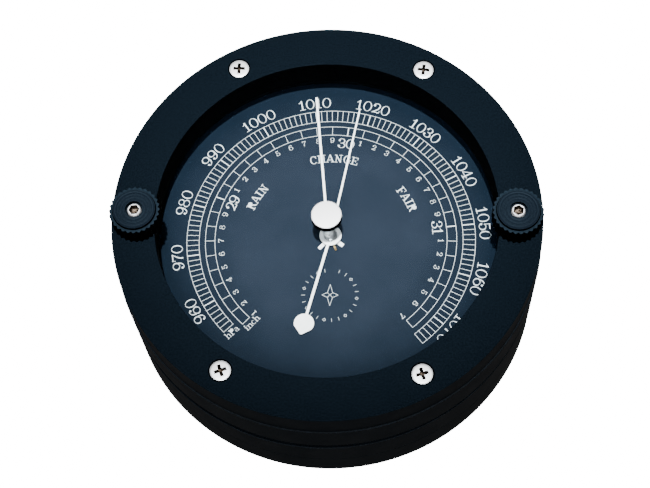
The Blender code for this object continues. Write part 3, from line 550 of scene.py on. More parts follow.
def make_front_ring():
    soft = 0.08 * MM
    upper, lower = ends("case_front_ring")
    ledge, shelf = 48.6 * MM, low("dial_plate") - 0.05 * MM
    wire_low = low("glass_snap_ring") - 0.05 * MM
    wire_high = high("glass_snap_ring") + 0.02 * MM
    groove = 51.0 * MM
    profile = [
        (BORE_RADIUS, upper), (BODY_RADIUS, upper), (BODY_RADIUS, lower), (ledge, lower), (ledge, shelf),
        (BORE_RADIUS, shelf), (BORE_RADIUS, wire_low), (groove, wire_low), (groove, wire_high),
        (BORE_RADIUS, wire_high),
    ]
    body = lofted(rounded(profile, [0, soft, soft, 0, 0, 0, 0, 0, 0, 0]), STEPS, True)
    ring = add("front_ring", body, BLACK_SIDE)
    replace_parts(even_normals(ring), "case_front_ring")


def make_middle_ring():
    """The lip around the outside follows the CAD ring's slanted top edge."""
    soft = 0.08 * MM
    upper, lower = high("case_seal_ring") - 3.7 * MM, low("case_middle_ring")
    lip = 58.4 * MM
    rim = high("case_middle_ring") + 0.4 * MM
    mean, taper, widest = 1.3 * MM, 2.35 * MM, radians(218)
    profile = [
        (BORE_RADIUS, upper), (lip, upper), (lip, rim), (BODY_RADIUS, rim), (BODY_RADIUS, lower),
        (BORE_RADIUS, lower),
    ]
    body = lofted(rounded(profile, [0, 0, soft / 2, soft, soft, 0]), STEPS, True)
    for vertex in body.vertices:
        if vertex.co.z > upper + MM:
            angle = atan2(vertex.co.x, vertex.co.y)
            vertex.co.z -= max(0.4 * MM, mean + taper * cos(angle - widest))
    ring = add("middle_ring", body, BLACK_SIDE)
    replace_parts(even_normals(ring), "case_middle_ring")
    seal_top, seal_low = ends("case_seal_ring")
    reach = lip - 0.05 * MM
    profile = [(BORE_RADIUS, seal_top), (reach, seal_top), (reach, seal_low), (BORE_RADIUS, seal_low)]
    seal = lofted(profile, STEPS, True)
    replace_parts(add("seal_ring", seal, RUBBER), "case_seal_ring")


def make_back():
    soft = 0.08 * MM
    upper = high("back_plate")
    floor_top = 3.0 * MM
    profile = [
        (0, floor_top), (BORE_RADIUS, floor_top), (BORE_RADIUS, upper), (BODY_RADIUS, upper),
        (BODY_RADIUS, 0), (0, 0),
    ]
    body = lofted(rounded(profile, [0, 0, 0, soft, 0.9 * MM, 0]), STEPS, False)
    sink = drill(3.05 * MM, 2.4 * MM, -MM, 40)
    through = drill(1.55 * MM, 20 * MM, MM, 24)
    access = drill(3 * MM, 10 * MM, -MM, 48)
    vent = drill(1.5 * MM, 10 * MM, -MM, 32)
    cutters = [(hole, (*centre_of(node), 0), 0.1) for node in BACK_SCREW_NODES for hole in (sink, through)]
    cutters += [(access, (*centre_of("calibration_screw"), 0), 0.1), (vent, (0, 22 * MM, 0), 0.1)]
    back = add("back", cut(body, cutters), BLACK_SIDE)
    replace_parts(even_normals(back), "back_plate")


# ---- screws, studs and thumb nuts


CROSS_ARM, CROSS_HALF = 1.7 * MM, 0.46 * MM


def cross_cutter(outside, face, floor):
    """A cross that narrows from the screw's face to its floor, as a driver leaves it."""
    rings = []
    for height, arm, half in (
        (outside, CROSS_ARM, CROSS_HALF), (face, CROSS_ARM, CROSS_HALF),
        (floor, CROSS_ARM * 0.55, CROSS_HALF * 0.8),
    ):
        ring = []
        for quarter in range(4):
            turned = Matrix.Rotation(quarter * pi / 2, 3, "Z")
            ring += [turned @ Vector((x, y, height)) for x, y in ((half, half), (half, arm), (-half, arm))]
        rings.append(ring)
    return skinned(rings)


def place_steel(data, name, roughness, nodes, turns, reach, face, below=True):
    """Steel on each node, turned by its degrees, with the recess that lies past its face painted dark as
    painted shade.
    """

    def in_recess(out, height, up):
        past = height < face if below else height > face
        return out < reach and past and abs(height - face) < 3 * MM

    steel = turned_metal(name, *STEEL_TONES, (0, 0), roughness)
    data.materials.append(steel)
    # The recess faces get the painted shade.
    paint_faces(data, SHADED_RECESS_STEEL, in_recess)
    for node, turn in zip(nodes, turns):
        place = (*centre_of(node), 0)
        piece = add(f"{node}_steel", data, steel, place=place, spin=radians(turn))
        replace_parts(piece, node)


def make_screws():
    """Countersunk cross-head screws with a slightly raised head."""
    head = radius_of("bezel_screw_1")
    shank = 1.5 * MM
    neck = TOP - 0.12 * MM
    crown = neck + (high("bezel_screw_1") - neck) * 0.6
    dome = [(head * 0.86 * i / 5, crown - 0.1 * MM * (i / 5) ** 2) for i in range(6)]
    rim = [(head * 0.95, crown - 0.17 * MM), (head, neck)]
    tip = low("bezel_screw_1")
    profile = dome + rim + [(shank, neck - 1.5 * MM), (shank, tip), (0, tip)]
    cross = cross_cutter(TOP + MM, crown - 0.1 * MM, TOP - 1.5 * MM)
    data = cut(lofted(profile, 64, False), [(cross,)])
    reach, face = CROSS_ARM + 0.06 * MM, crown - 0.14 * MM
    place_steel(data, "screw_steel", 0.55, FASTENER_NODES, (0, -6, 17, 21), reach, face)


def make_back_screws():
    head = radius_of("back_screw_1")
    shank = 1.5 * MM
    bottom = low("back_screw_1")
    profile = [
        (0, high("back_screw_1")), (shank, high("back_screw_1")), (shank, bottom + 2 * MM),
        (head, bottom + 2 * MM), (head, bottom + 0.6 * MM), (head * 0.86, bottom + 0.18 * MM),
        (head * 0.5, bottom + 0.02 * MM), (0, bottom),
    ]
    cross = cross_cutter(bottom - MM, bottom + 0.1 * MM, bottom + 1.1 * MM)
    data = cut(lofted(profile, 48, False), [(cross,)])
    reach, face = CROSS_ARM + 0.06 * MM, bottom + 0.14 * MM
    place_steel(data, "back_screw_steel", 0.4, BACK_SCREW_NODES, (5, 71, -24, 40), reach, face, below=False)


def make_studs():
    head = 1.9 * MM
    shank = 1.25 * MM
    top, bottom = ends("stud_left")
    shoulder = TOP + 0.5 * MM
    profile = [
        (0, top), (head - 0.25 * MM, top), (head, top - 0.25 * MM), (head, shoulder), (shank, shoulder),
        (shank, bottom), (0, bottom),
    ]
    key = 1.56 * MM
    socket = [(0, top + MM), (key, top + MM), (key, top - 2.2 * MM), (0, top - 2.6 * MM)]
    data = cut(lofted(profile, 64, False), [(lofted(socket, 6, False),)])
    nodes = [f"stud_{side}" for side in SIDES]
    place_steel(data, "stud_steel", 0.5, nodes, (8, 21), key + 0.02 * MM, top - 0.05 * MM)


def teeth(radius, depth, count):
    """Radius against turn for blunt triangular teeth."""

    def reach(turn):
        phase = (turn * count / (2 * pi)) % 1.0
        away = 1 - abs(phase - 0.5) * 2
        return radius - depth * min(1.0, max(0.0, away * 1.2 - 0.08))

    return reach


def capped(reach, limit):
    return lambda turn: min(reach(turn), limit)


def make_thumb_nuts():
    radius = radius_of("thumb_nut_left")
    top, bottom = ends("thumb_nut_left")
    outside = teeth(radius, 0.5 * MM, 28)
    face = 5.85 * MM
    foot = 0.26 * MM
    rim = top - 0.7 * MM
    bore = 2.38 * MM
    thread = 2.05 * MM
    fine = 0.05 * MM
    levels = [(bore, top - 1.1 * MM), (bore, top - fine), (bore + fine, top)]
    for ring in (3.2 * MM, 4.1 * MM, 5.0 * MM):
        levels += [(ring, top), (ring + fine, top - 0.3 * fine), (ring + 2 * fine, top - 0.3 * fine)]
        levels.append((ring + 3 * fine, top))
    levels += [(face - fine, top), (face, top - fine), (face, rim - foot)]
    levels += [(face + foot, rim - foot), (face + foot, rim)]
    levels += [(capped(outside, radius - fine), rim), (outside, rim - fine)]
    levels += [(outside, bottom + 0.4 * MM), (capped(outside, radius - 0.5 * MM), bottom)]
    levels += [(thread, bottom), (thread, top - 1.1 * MM)]
    data = lofted(levels, 28 * 12, True)
    data.materials.append(BLACK_TURNED)
    paint_faces(data, BLACK_RIM, lambda out, height, up: up > 0.5 and out > face)
    seat = rim - foot
    # The nut's sides and the groove at the seat's foot get the darker black as painted shade.
    paint_faces(data, BLACK_PAINTED_SHADE, lambda out, height, up: abs(up) < 0.5 or abs(height - seat) < foot * 0.1)
    for side, turn in zip(SIDES, (3, 5)):
        name = f"thumb_nut_{side}"
        place = (*centre_of(name), 0)
        spin = radians(turn)
        nut = add(f"{name}_knurled", data, None, f"{name}_body", place=place, spin=spin)
        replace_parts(nut, name)


# ---- window and set hand


def make_snap_ring():
    """A split spring wire under the glass."""
    centre_radius = 50.6 * MM
    wire = 0.3 * MM
    height = (low("glass_snap_ring") + high("glass_snap_ring")) / 2
    sides, parts = 10, 160
    rings = []
    for part in range(parts + 1):
        turn = radians(8 + 344 * part / parts)
        section = ring_points(wire, sides)
        rings.append([(*clock(centre_radius + out, turn), height + rise * 0.98) for out, rise in section])
    data = skinned(rings)
    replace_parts(add("snap_ring", data, WIRE_STEEL), "glass_snap_ring")


def make_set_knob():
    radius = radius_of("set_knob")
    top, bottom = ends("set_knob")
    outside = teeth(radius, 0.34 * MM, 60)
    edge = 0.04 * MM
    socket = radius_of("set_arbor") + 0.02 * MM
    levels = [(0, top), (radius * 0.88, top), (capped(outside, radius - edge / 2), top - edge / 2)]
    levels += [(outside, top - 1.5 * edge), (outside, bottom + edge)]
    levels += [(capped(outside, radius - edge), bottom)]
    levels += [(socket, bottom), (socket, top - 0.8 * MM), (0, top - 0.8 * MM)]
    knob = add("set_knob_steel", lofted(levels, 60 * 8, False), STEEL, "set_hand_body")
    # The knob's side and underside get the darker black as painted shade.
    paint_faces(knob.data, BLACK_PAINTED_SHADE, lambda out, height, up: up < 0.5)
    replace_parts(knob, "set_knob")
    arbor_radius = radius_of("set_arbor")
    arbor_top, arbor_low = ends("set_arbor")
    shoulder = high("set_hand") + 0.05 * MM
    profile = [
        (0, arbor_top), (arbor_radius, arbor_top), (arbor_radius, shoulder), (0.55 * MM, shoulder),
        (0.55 * MM, arbor_low), (0, arbor_low),
    ]
    arbor = add("set_arbor_steel", lofted(profile, 48, False), STEEL, "set_hand_body")
    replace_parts(arbor, "set_arbor")


def make_set_hand():
    """A straight white pointer with a square tip, on a round hub."""
    top, bottom = ends("set_hand")
    angle = radians(-6.1)
    length = 44.3 * MM
    half = 0.35 * MM
    hub = 1.4 * MM
    root = sqrt(hub**2 - half**2)
    outline = [(half, root), (half * 0.96, length), (-half * 0.96, length), (-half, root)]
    first = atan2(half, root)
    outline += [clock(hub, -(first + (2 * pi - 2 * first) * i / 40)) for i in range(1, 40)]
    data = flat_shape([outline, ring_points(0.57 * MM, 32)], bottom, top)
    hand = add("set_hand_white", data, ENAMEL, "set_hand_body", spin=-angle)
    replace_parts(even_normals(hand), "set_hand")


# ---- indicator hand


def make_indicator_hand():
    top, bottom = ends("indicator_hand")
    needle_angle = radians(10.3)
    bend = pi + radians(3.6)
    length, tail, tail_tip = 42.6 * MM, 27.7 * MM, 31.1 * MM
    tip_half, root_half, tail_half = 0.25 * MM, 0.33 * MM, 0.38 * MM
    hub, disc = 2.4 * MM, 2.83 * MM
    root = hub * 0.95
    needle = [
        (root_half, root), (tip_half, length - 1.8 * MM), (0, length), (-tip_half, length - 1.8 * MM),
        (-root_half, root),
    ]
    hub_left = [clock(hub, -radians(a)) for a in range(20, 166, 10)]
    right = [(tail_half, root), (tail_half, tail - sqrt(disc**2 - tail_half**2))]
    for turn in range(20, 128, 9):
        right.append((disc * sin(radians(turn)), tail - disc * cos(radians(turn))))
    right.append((0.35 * MM, tail_tip - 0.12 * MM))
    shape = right + [(0, tail_tip)] + [(-x, y) for x, y in reversed(right)]
    turned_tail = [(x * cos(bend) + y * sin(bend), y * cos(bend) - x * sin(bend)) for x, y in shape]
    hub_right = [clock(hub, radians(a)) for a in range(160, 19, -10)]
    outline = needle + hub_left + turned_tail + hub_right
    data = flat_shape([outline, ring_points(1.1 * MM, 32)], bottom, top)
    place, spin = (*MOVEMENT, 0), -needle_angle
    hand = add("indicator_hand_white", data, ENAMEL, "indicator_body", place=place, spin=spin)
    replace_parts(even_normals(hand), "indicator_hand")


def make_boss():
    radius = radius_of("indicator_boss")
    top, bottom = ends("indicator_boss")
    under = high("indicator_hand") + 0.05 * MM
    bore = 0.62 * MM
    profile = [
        (bore, top), (radius * 0.5, top), (radius * 0.62, under + 0.38 * MM), (radius, under + 0.36 * MM),
        (radius, under), (1.04 * MM, under), (1.04 * MM, bottom), (bore, bottom),
    ]
    softened = rounded(profile, [0.08 * MM, 0.15 * MM, 0.1 * MM, 0.12 * MM, 0, 0, 0, 0])
    data = lofted(softened, 96, True)
    data.materials.append(BOSS_STEEL)
    # The outer flange is painted white as a painted highlight, standing in for the bright reflection of the
    # steel boss that stays white under the knob's shadow.
    paint_faces(data, ENAMEL, lambda out, height, up: out > radius * 0.64)
    boss = add("boss_steel", data, BOSS_STEEL, "indicator_body", place=(*MOVEMENT, 0))
    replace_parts(even_normals(boss), "indicator_boss")


def make_bush_clip():
    """The white clip around the bush: two spread legs and, between them, a narrow brass tongue bent up."""
    top, bottom = ends("bush_clip")
    body = 2.6 * MM
    legs = [(126, 4.5 * MM, 0.58 * MM), (221.5, 4.9 * MM, 0.5 * MM)]
    corner = 0.12 * MM
    outline = []
    for angle, reach, half in legs:
        along = Vector(clock(1, radians(angle)))
        across = Vector((along.y, -along.x))
        root = sqrt(body**2 - half**2)
        side = [(root, half), (reach - corner, half), (reach, half - corner)]
        for out, aside in [(out, -aside) for out, aside in side] + side[::-1]:
            outline.append(tuple(along * out + across * aside))
        if angle < 180:
            outline += [clock(body, radians(a)) for a in range(140, 205, 8)]
    outline += [clock(body, radians(a)) for a in range(240, 464, 8)]
    data = flat_shape([outline, ring_points(1.86 * MM, 40)], bottom, top)
    clip = add("bush_clip_white", data, ENAMEL, place=(*MOVEMENT, 0))
    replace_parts(even_normals(clip), "bush_clip")
    half = 0.26 * MM
    thick = 0.16 * MM
    profile = [(body - 0.2 * MM, 0), (3.5 * MM, 0), (4.0 * MM, 0.1 * MM), (4.55 * MM, 0.5 * MM)]
    rings = []
    for reach, rise in profile:
        lower, upper = bottom + rise, bottom + rise + thick
        corners = [(-half, lower), (half, lower), (half, upper), (-half, upper)]
        rings.append([(across, reach, level) for across, level in corners])
    data = skinned(rings)
    add("bush_clip_tongue", data, BRASS, place=(*MOVEMENT, 0), spin=-radians(158))


# ---- glyphs
#
# A glyph is a list of four-sided faces in a box one unit high, centred on x = 0 with its feet on y = 0.

# Every stroke is drawn at this share of the width given for it.
WEIGHT = 0.58


def bar(left, bottom, right, top):
    """An upright or level bar. Its narrow side takes the type's weight."""
    thinner = (1 - WEIGHT) / 2 * min(right - left, top - bottom)
    if right - left < top - bottom:
        left, right = left + thinner, right - thinner
    else:
        bottom, top = bottom + thinner, top - thinner
    return [[(left, bottom), (right, bottom), (right, top), (left, top)]]


def oval(x, y, wide, tall, side, end, start=0, stop=360):
    """A ring, thicker at its sides than at its top and bottom, or a part of it between two angles."""
    parts = max(3, int(abs(stop - start) / 15))
    edges = []
    for part in range(parts + 1):
        turn = radians(start + (stop - start) * part / parts)
        inner = (x + (wide - side * WEIGHT) * cos(turn), y + (tall - end * WEIGHT) * sin(turn))
        edges.append((inner, (x + wide * cos(turn), y + tall * sin(turn))))
    return [[*a, *b[::-1]] for a, b in zip(edges, edges[1:])]


def ball(x, y, radius):
    rim = ring_points(radius, 8, x, y)
    return [[(x, y), a, b] for a, b in zip(rim, rim[1:] + rim[:1])]


def smooth_line(points):
    """Points along a Catmull-Rom curve through (x, y, half width) knots."""
    parts = 5
    knots = [Vector(p) for p in points]
    knots = [knots[0] * 2 - knots[1], *knots, knots[-1] * 2 - knots[-2]]
    line = []
    for i in range(1, len(knots) - 2):
        p0, p1, p2, p3 = knots[i - 1 : i + 3]
        for part in range(parts):
            t = part / parts
            squared = (2 * p0 - 5 * p1 + 4 * p2 - p3) * t**2
            cubed = (3 * p1 - p0 - 3 * p2 + p3) * t**3
            line.append(0.5 * (2 * p1 + (p2 - p0) * t + squared + cubed))
    line.append(knots[-2])
    return line


def stroke(*points):
    """A line of changing width through (x, y, half width) knots."""
    line = smooth_line(points) if len(points) > 2 else [Vector(p) for p in points]
    edges = []
    for i, at in enumerate(line):
        before, after = line[max(0, i - 1)], line[min(len(line) - 1, i + 1)]
        along = (after.xy - before.xy).normalized()
        across = Vector((-along.y, along.x)) * at.z * WEIGHT
        edges.append((tuple(at.xy + across), tuple(at.xy - across)))
    return [[a[1], b[1], b[0], a[0]] for a, b in zip(edges, edges[1:])]


def upside_down(faces):
    return [[(-x, 1 - y) for x, y in face] for face in faces]


def six():
    top = (0.24, 0.84, 0.03), (0.17, 0.94, 0.045), (0.0, 0.955, 0.045)
    spine = stroke(*top, (-0.19, 0.8, 0.075), (-0.27, 0.5, 0.09))
    return oval(0.02, 0.31, 0.36, 0.31, 0.17, 0.075) + spine + ball(0.21, 0.83, 0.09)


def letter_e(bottom):
    faces = bar(-0.3, 0, -0.09, 1) + bar(-0.42, 0, 0.02, 0.09) + bar(-0.42, 0.91, -0.2, 1)
    faces += bar(-0.2, 0.91, 0.36, 1) + bar(0.28, 0.68, 0.36, 0.95)
    faces += bar(-0.2, 0.455, 0.14, 0.545) + bar(0.09, 0.36, 0.16, 0.64)
    if bottom:
        faces += bar(-0.1, 0, 0.38, 0.09) + bar(0.3, 0.05, 0.38, 0.32)
    return faces


def letter_c():
    return oval(0.03, 0.5, 0.4, 0.5, 0.21, 0.085, 42, 318) + bar(0.28, 0.62, 0.35, 0.99)


def arch(stem):
    faces = bar(-0.31, 0, -0.14, stem) + bar(-0.41, 0, -0.03, 0.075) + bar(-0.41, stem - 0.075, -0.2, stem)
    top = (-0.2, 0.46, 0.03), (-0.02, 0.61, 0.05), (0.16, 0.59, 0.08)
    return faces + stroke(*top, (0.235, 0.4, 0.085), (0.235, 0.04, 0.085)) + bar(0.07, 0, 0.41, 0.075)


def bowl(stem_left):
    faces = oval(0.02, 0.74, 0.34, 0.26, 0.2, 0.085, -90, 90)
    return faces + bar(stem_left, 0.915, 0.02, 1) + bar(stem_left, 0.48, 0.02, 0.565)


GLYPHS = {
    "0": (0.86, oval(0, 0.5, 0.38, 0.5, 0.155, 0.06)),
    "1": (
        0.64,
        bar(-0.09, 0, 0.1, 0.98) + bar(-0.25, 0, 0.26, 0.08)
        + stroke((-0.26, 0.74, 0.035), (-0.13, 0.79, 0.045), (0.0, 0.93, 0.06)),
    ),
    "2": (
        0.8,
        oval(0, 0.7, 0.33, 0.3, 0.17, 0.07, -12, 160) + ball(-0.22, 0.74, 0.1)
        + stroke((0.245, 0.66, 0.085), (0.17, 0.45, 0.08), (-0.06, 0.24, 0.06), (-0.3, 0.06, 0.04))
        + stroke((-0.33, 0.05, 0.045), (-0.1, 0.1, 0.07), (0.14, 0.06, 0.065), (0.32, 0.1, 0.06))
        + bar(0.27, 0.08, 0.35, 0.27),
    ),
    "3": (
        0.78,
        oval(-0.02, 0.745, 0.3, 0.255, 0.15, 0.07, -90, 155)
        + oval(-0.02, 0.27, 0.35, 0.27, 0.17, 0.07, -155, 90) + bar(-0.12, 0.47, 0.0, 0.545)
        + ball(-0.23, 0.79, 0.09) + ball(-0.26, 0.21, 0.1),
    ),
    "4": (
        0.84,
        stroke((0.13, 0.99, 0.045), (-0.36, 0.29, 0.045)) + bar(-0.42, 0.24, 0.36, 0.33)
        + bar(0.03, 0, 0.21, 1) + bar(-0.1, 0, 0.34, 0.075),
    ),
    "5": (
        0.78,
        bar(-0.22, 0.86, 0.27, 1) + bar(-0.26, 0.44, -0.18, 1)
        + oval(0, 0.31, 0.35, 0.31, 0.17, 0.07, -150, 138) + ball(-0.24, 0.21, 0.1),
    ),
    "6": (0.8, six()),
    "7": (
        0.78,
        bar(-0.32, 0.85, 0.34, 1) + bar(-0.34, 0.68, -0.27, 1)
        + stroke((0.28, 0.9, 0.05), (0.1, 0.6, 0.065), (-0.04, 0.32, 0.09), (-0.07, 0.01, 0.105)),
    ),
    "8": (0.8, oval(0, 0.745, 0.29, 0.255, 0.12, 0.06) + oval(0, 0.275, 0.36, 0.275, 0.14, 0.06)),
    "9": (0.8, upside_down(six())),
    "A": (
        0.96,
        stroke((-0.33, 0.04, 0.05), (-0.02, 0.99, 0.05)) + stroke((0.0, 0.99, 0.11), (0.33, 0.04, 0.115))
        + bar(-0.22, 0.27, 0.2, 0.36) + bar(-0.46, 0, -0.16, 0.09) + bar(0.1, 0, 0.5, 0.09),
    ),
    "C": (0.88, letter_c()),
    "E": (0.88, letter_e(True)),
    "F": (0.84, letter_e(False)),
    "G": (0.96, letter_c() + bar(0.2, 0.04, 0.38, 0.42) + bar(0.08, 0.38, 0.47, 0.47)),
    "H": (
        1.02,
        bar(-0.37, 0, -0.16, 1) + bar(0.16, 0, 0.37, 1) + bar(-0.2, 0.455, 0.2, 0.55)
        + bar(-0.48, 0, -0.05, 0.09) + bar(0.05, 0, 0.48, 0.09) + bar(-0.48, 0.91, -0.05, 1)
        + bar(0.05, 0.91, 0.48, 1),
    ),
    "I": (0.56, bar(-0.11, 0, 0.11, 1) + bar(-0.25, 0, 0.25, 0.09) + bar(-0.25, 0.91, 0.25, 1)),
    "N": (
        0.98,
        bar(-0.3, 0, -0.2, 0.95) + bar(0.22, 0.05, 0.32, 1)
        + stroke((-0.29, 0.97, 0.11), (0.27, 0.03, 0.11)) + bar(-0.45, 0.91, -0.2, 1)
        + bar(-0.43, 0, -0.08, 0.09) + bar(0.07, 0.91, 0.46, 1),
    ),
    "P": (0.82, bar(-0.3, 0, -0.09, 1) + bar(-0.42, 0, 0.04, 0.09) + bar(-0.42, 0.91, -0.2, 1) + bowl(-0.2)),
    "R": (
        0.94,
        bar(-0.32, 0, -0.11, 1) + bar(-0.43, 0, 0.0, 0.09) + bar(-0.43, 0.91, -0.2, 1) + bowl(-0.2)
        + stroke((0.0, 0.5, 0.05), (0.17, 0.4, 0.1), (0.25, 0.16, 0.11), (0.42, 0.05, 0.045)),
    ),
    "a": (
        0.68,
        oval(-0.03, 0.2, 0.25, 0.2, 0.13, 0.06)
        + stroke((-0.2, 0.56, 0.045), (0.0, 0.64, 0.045), (0.16, 0.5, 0.08), (0.17, 0.04, 0.085))
        + bar(0.12, 0, 0.34, 0.075),
    ),
    "c": (0.62, oval(0.02, 0.34, 0.29, 0.34, 0.15, 0.065, 48, 312)),
    "h": (0.84, arch(1.0)),
    "i": (
        0.46,
        bar(-0.085, 0, 0.085, 0.68) + bar(-0.2, 0, 0.2, 0.075) + bar(-0.19, 0.605, 0, 0.68)
        + ball(-0.01, 0.88, 0.1),
    ),
    "n": (0.84, arch(0.68)),
}


# ---- dial print

OUTER, PRESSURE_IN, INCH_OUT, INNER = 41.4 * MM, 37.85 * MM, 36.05 * MM, 33.3 * MM
LINE = 0.115 * MM
HEAVY = 0.28 * MM
DEGREES_PER_HPA = 2.2783
HPA_AT_ZERO = 1015 - 3.62 / DEGREES_PER_HPA
FIRST_HPA, LAST_HPA = 954, 1075
INCH_30_AT = 6.92
DEGREES_PER_TENTH = 7.65
FIRST_TENTH, LAST_TENTH = 281, 317
LAST_INCH_AT = 139.0


def hpa_angle(pressure):
    return radians((pressure - HPA_AT_ZERO) * DEGREES_PER_HPA)


def inch_angle(tenths):
    if tenths == LAST_TENTH:
        return radians(LAST_INCH_AT)
    return radians(INCH_30_AT + (tenths - 300) * DEGREES_PER_TENTH)


class Print:
    """White paint on the dial as faces around the movement's axis, joined where they overlap."""

    def __init__(self):
        self.points = []
        self.faces = []

    def shape(self, faces):
        """Adds faces that may overlap, as one shape with its overlaps merged."""
        points = []
        loops = []
        for face in faces:
            area = sum(a[0] * b[1] - b[0] * a[1] for a, b in zip(face, face[1:] + face[:1]))
            ordered = face if area > 0 else face[::-1]
            loops.append(list(range(len(points), len(points) + len(ordered))))
            points += [Vector(p) for p in ordered]
        merged = delaunay_2d_cdt(points, [], loops, 1, 1e-5)
        start = len(self.points)
        self.points += [tuple(p) for p in merged[0]]
        for triangle, owners in zip(merged[2], merged[5]):
            if owners:
                self.faces.append([start + i for i in triangle])

    def arc(self, radius, width, first, last):
        parts = max(8, int(abs(last - first) / radians(1.5)))
        edges = []
        for part in range(parts + 1):
            turn = first + (last - first) * part / parts
            edges.append((clock(radius - width / 2, turn), clock(radius + width / 2, turn)))
        return [[*a, *b[::-1]] for a, b in zip(edges, edges[1:])]

    def rung(self, angle, inner, outer, width):
        along = Vector(clock(1, angle))
        across = Vector((along.y, -along.x)) * (width / 2)
        near, far = along * inner, along * outer
        return [[tuple(p) for p in (near - across, far - across, far + across, near + across)]]

    def glyph(self, symbol, size, place, up, wide=1.0):
        """One glyph with the middle of its height at a point, its top towards up."""
        top = Vector(up).normalized()
        right = Vector((top.y, -top.x))
        middle = Vector(place)

        def on_dial(x, y):
            return tuple(middle + right * (x * size * wide) + top * ((y - 0.5) * size))

        self.shape([[on_dial(x, y) for x, y in face] for face in GLYPHS[symbol][1]])

    def round_text(self, text, size, radius, angle, gap=1.0, wide=1.0):
        """Text along a circle, its feet towards the middle."""
        widths = [GLYPHS[c][0] * size * gap for c in text]
        along = -sum(widths) / 2
        for symbol, width in zip(text, widths):
            turn = angle + (along + width / 2) / radius
            self.glyph(symbol, size, clock(radius, turn), clock(1, turn), wide)
            along += width

    def straight_text(self, text, size, start, direction, up):
        """Text along a straight line from a point on its middle height."""
        at = Vector(start)
        along = Vector(direction).normalized()
        for symbol in text:
            width = GLYPHS[symbol][0] * size
            self.glyph(symbol, size, at + along * (width / 2), up)
            at += along * width

    def mesh(self, height):
        data = bpy.data.meshes.new("print")
        data.from_pydata([(x, y, height) for x, y in self.points], [], self.faces)
        data.validate()
        mesh = bmesh.new()
        mesh.from_mesh(data)
        for face in mesh.faces:
            if face.normal.z < 0:
                face.normal_flip()
        mesh.to_mesh(data)
        mesh.free()
        return data


def print_ladders(ink):
    first, last = hpa_angle(FIRST_HPA), hpa_angle(LAST_HPA)
    faces = ink.arc(OUTER, LINE, first, last) + ink.arc(PRESSURE_IN, LINE, first, last)
    for pressure in range(FIRST_HPA, LAST_HPA + 1):
        width = HEAVY if pressure % 10 == 0 else LINE
        faces += ink.rung(hpa_angle(pressure), PRESSURE_IN - LINE / 2, OUTER + LINE / 2, width)
    ink.shape(faces)
    first, last = inch_angle(FIRST_TENTH), inch_angle(LAST_TENTH)
    faces = ink.arc(INCH_OUT, LINE, first, last) + ink.arc(INNER, LINE, first, last)
    for tenths in range(FIRST_TENTH, LAST_TENTH + 1):
        width = HEAVY if tenths % 10 == 0 else LINE
        faces += ink.rung(inch_angle(tenths), INNER - LINE / 2, INCH_OUT + LINE / 2, width)
    ink.shape(faces)


def print_numbers(ink):
    for pressure in range(960, 1071, 10):
        ink.round_text(str(pressure), 3.3 * MM, 44.25 * MM, hpa_angle(pressure))
    for tenths in range(FIRST_TENTH, LAST_TENTH + 1):
        whole, tenth = divmod(tenths, 10)
        if tenth == 0:
            ink.round_text(str(whole), 3.1 * MM, 30.7 * MM, inch_angle(tenths), 0.95, 1.05)
        else:
            ink.round_text(str(tenth), 1.65 * MM, 31.55 * MM, inch_angle(tenths))


def print_words(ink):
    for word, radius, angle in (("RAIN", 25.2, -59.9), ("CHANGE", 25.5, 0.6), ("FAIR", 25.2, 60.1)):
        ink.round_text(word, 2.55 * MM, radius * MM, radians(angle), 1.0)
    for word, start, outer in (("hPa", hpa_angle(FIRST_HPA), 42.0), ("inch", inch_angle(FIRST_TENTH), 36.6)):
        inward = -Vector(clock(1, start))
        clockwise = Vector((-inward.y, inward.x))
        begin = -inward * outer * MM - clockwise * 1.55 * MM
        ink.straight_text(word, 1.9 * MM, begin, inward, clockwise)


def print_emblem(ink):
    """A compass star in outline inside a ring of small marks, which is left open at the top."""
    centre = Vector(clock(17.8 * MM, radians(179)))
    line, mark, ring = 0.095 * MM, 0.5 * MM, 7.6 * MM
    places = 23
    for i in range(1, places):
        turn = 2 * pi * i / places + radians(3)
        radial = Vector(clock(1, turn))
        along = Vector((radial.y, -radial.x))
        at = centre + radial * ring
        if i % 3 == 0:
            corners = [radial * mark, along * mark, -radial * mark, -along * mark]
            inner = 1 - line * 1.4 / mark
            for a, b in zip(corners, corners[1:] + corners[:1]):
                ink.shape([[tuple(at + a), tuple(at + b), tuple(at + b * inner), tuple(at + a * inner)]])
        else:
            corners = (-along * line / 2, along * line / 2)
            outer = [tuple(at + c + radial * mark) for c in corners]
            ink.shape([[*outer, *(tuple(at - c - radial * mark) for c in corners)]])
    points = []
    for i in range(8):
        reach = (3.2 * MM, 1.05 * MM, 2.3 * MM, 1.05 * MM)[i % 4]
        points.append(Vector(clock(reach, i * pi / 4)))
    faces = []
    for i, a in enumerate(points):
        b = points[(i + 1) % 8]
        across = Vector((a.y - b.y, b.x - a.x)).normalized() * line / 2
        faces.append([tuple(centre + p) for p in (a - across, a + across, b + across, b - across)])
        if i % 2:
            across = Vector((-a.y, a.x)).normalized() * line / 2
            faces.append([tuple(centre + p) for p in (-across, a - across, a + across, across)])
    ink.shape(faces)


def make_dial_print():
    ink = Print()
    print_ladders(ink)
    print_numbers(ink)
    print_words(ink)
    print_emblem(ink)
    data = ink.mesh(DIAL_TOP + 0.02 * MM)
    add("dial_print", data, PRINT, smooth=False, place=(*MOVEMENT, 0))


# ---- CAD nodes that stay

THREE = (1, 2, 3)
KEPT = (
    (GLASS, ["glass"]), (RUBBER, ["glass_gasket"]), (STEEL, ["set_washer"]), (SLATE, ["dial_plate"]),
    (BRONZE, ["hairspring"]),
    (WIRE_STEEL, ["pinion_arbor", "rocking_shaft", "main_lever", *(f"pillar_screw_{i}" for i in THREE)]),
    (BRASS, ["dial_bush", "hairspring_stud", "top_plate", "lower_plate", "base_plate", "sector_gear"]),
    (BRASS, ["rocker_bracket", "capsule_head", "capsule_base", "calibration_screw"]),
    (BRASS, [f"pillar_{i}" for i in THREE]),
)


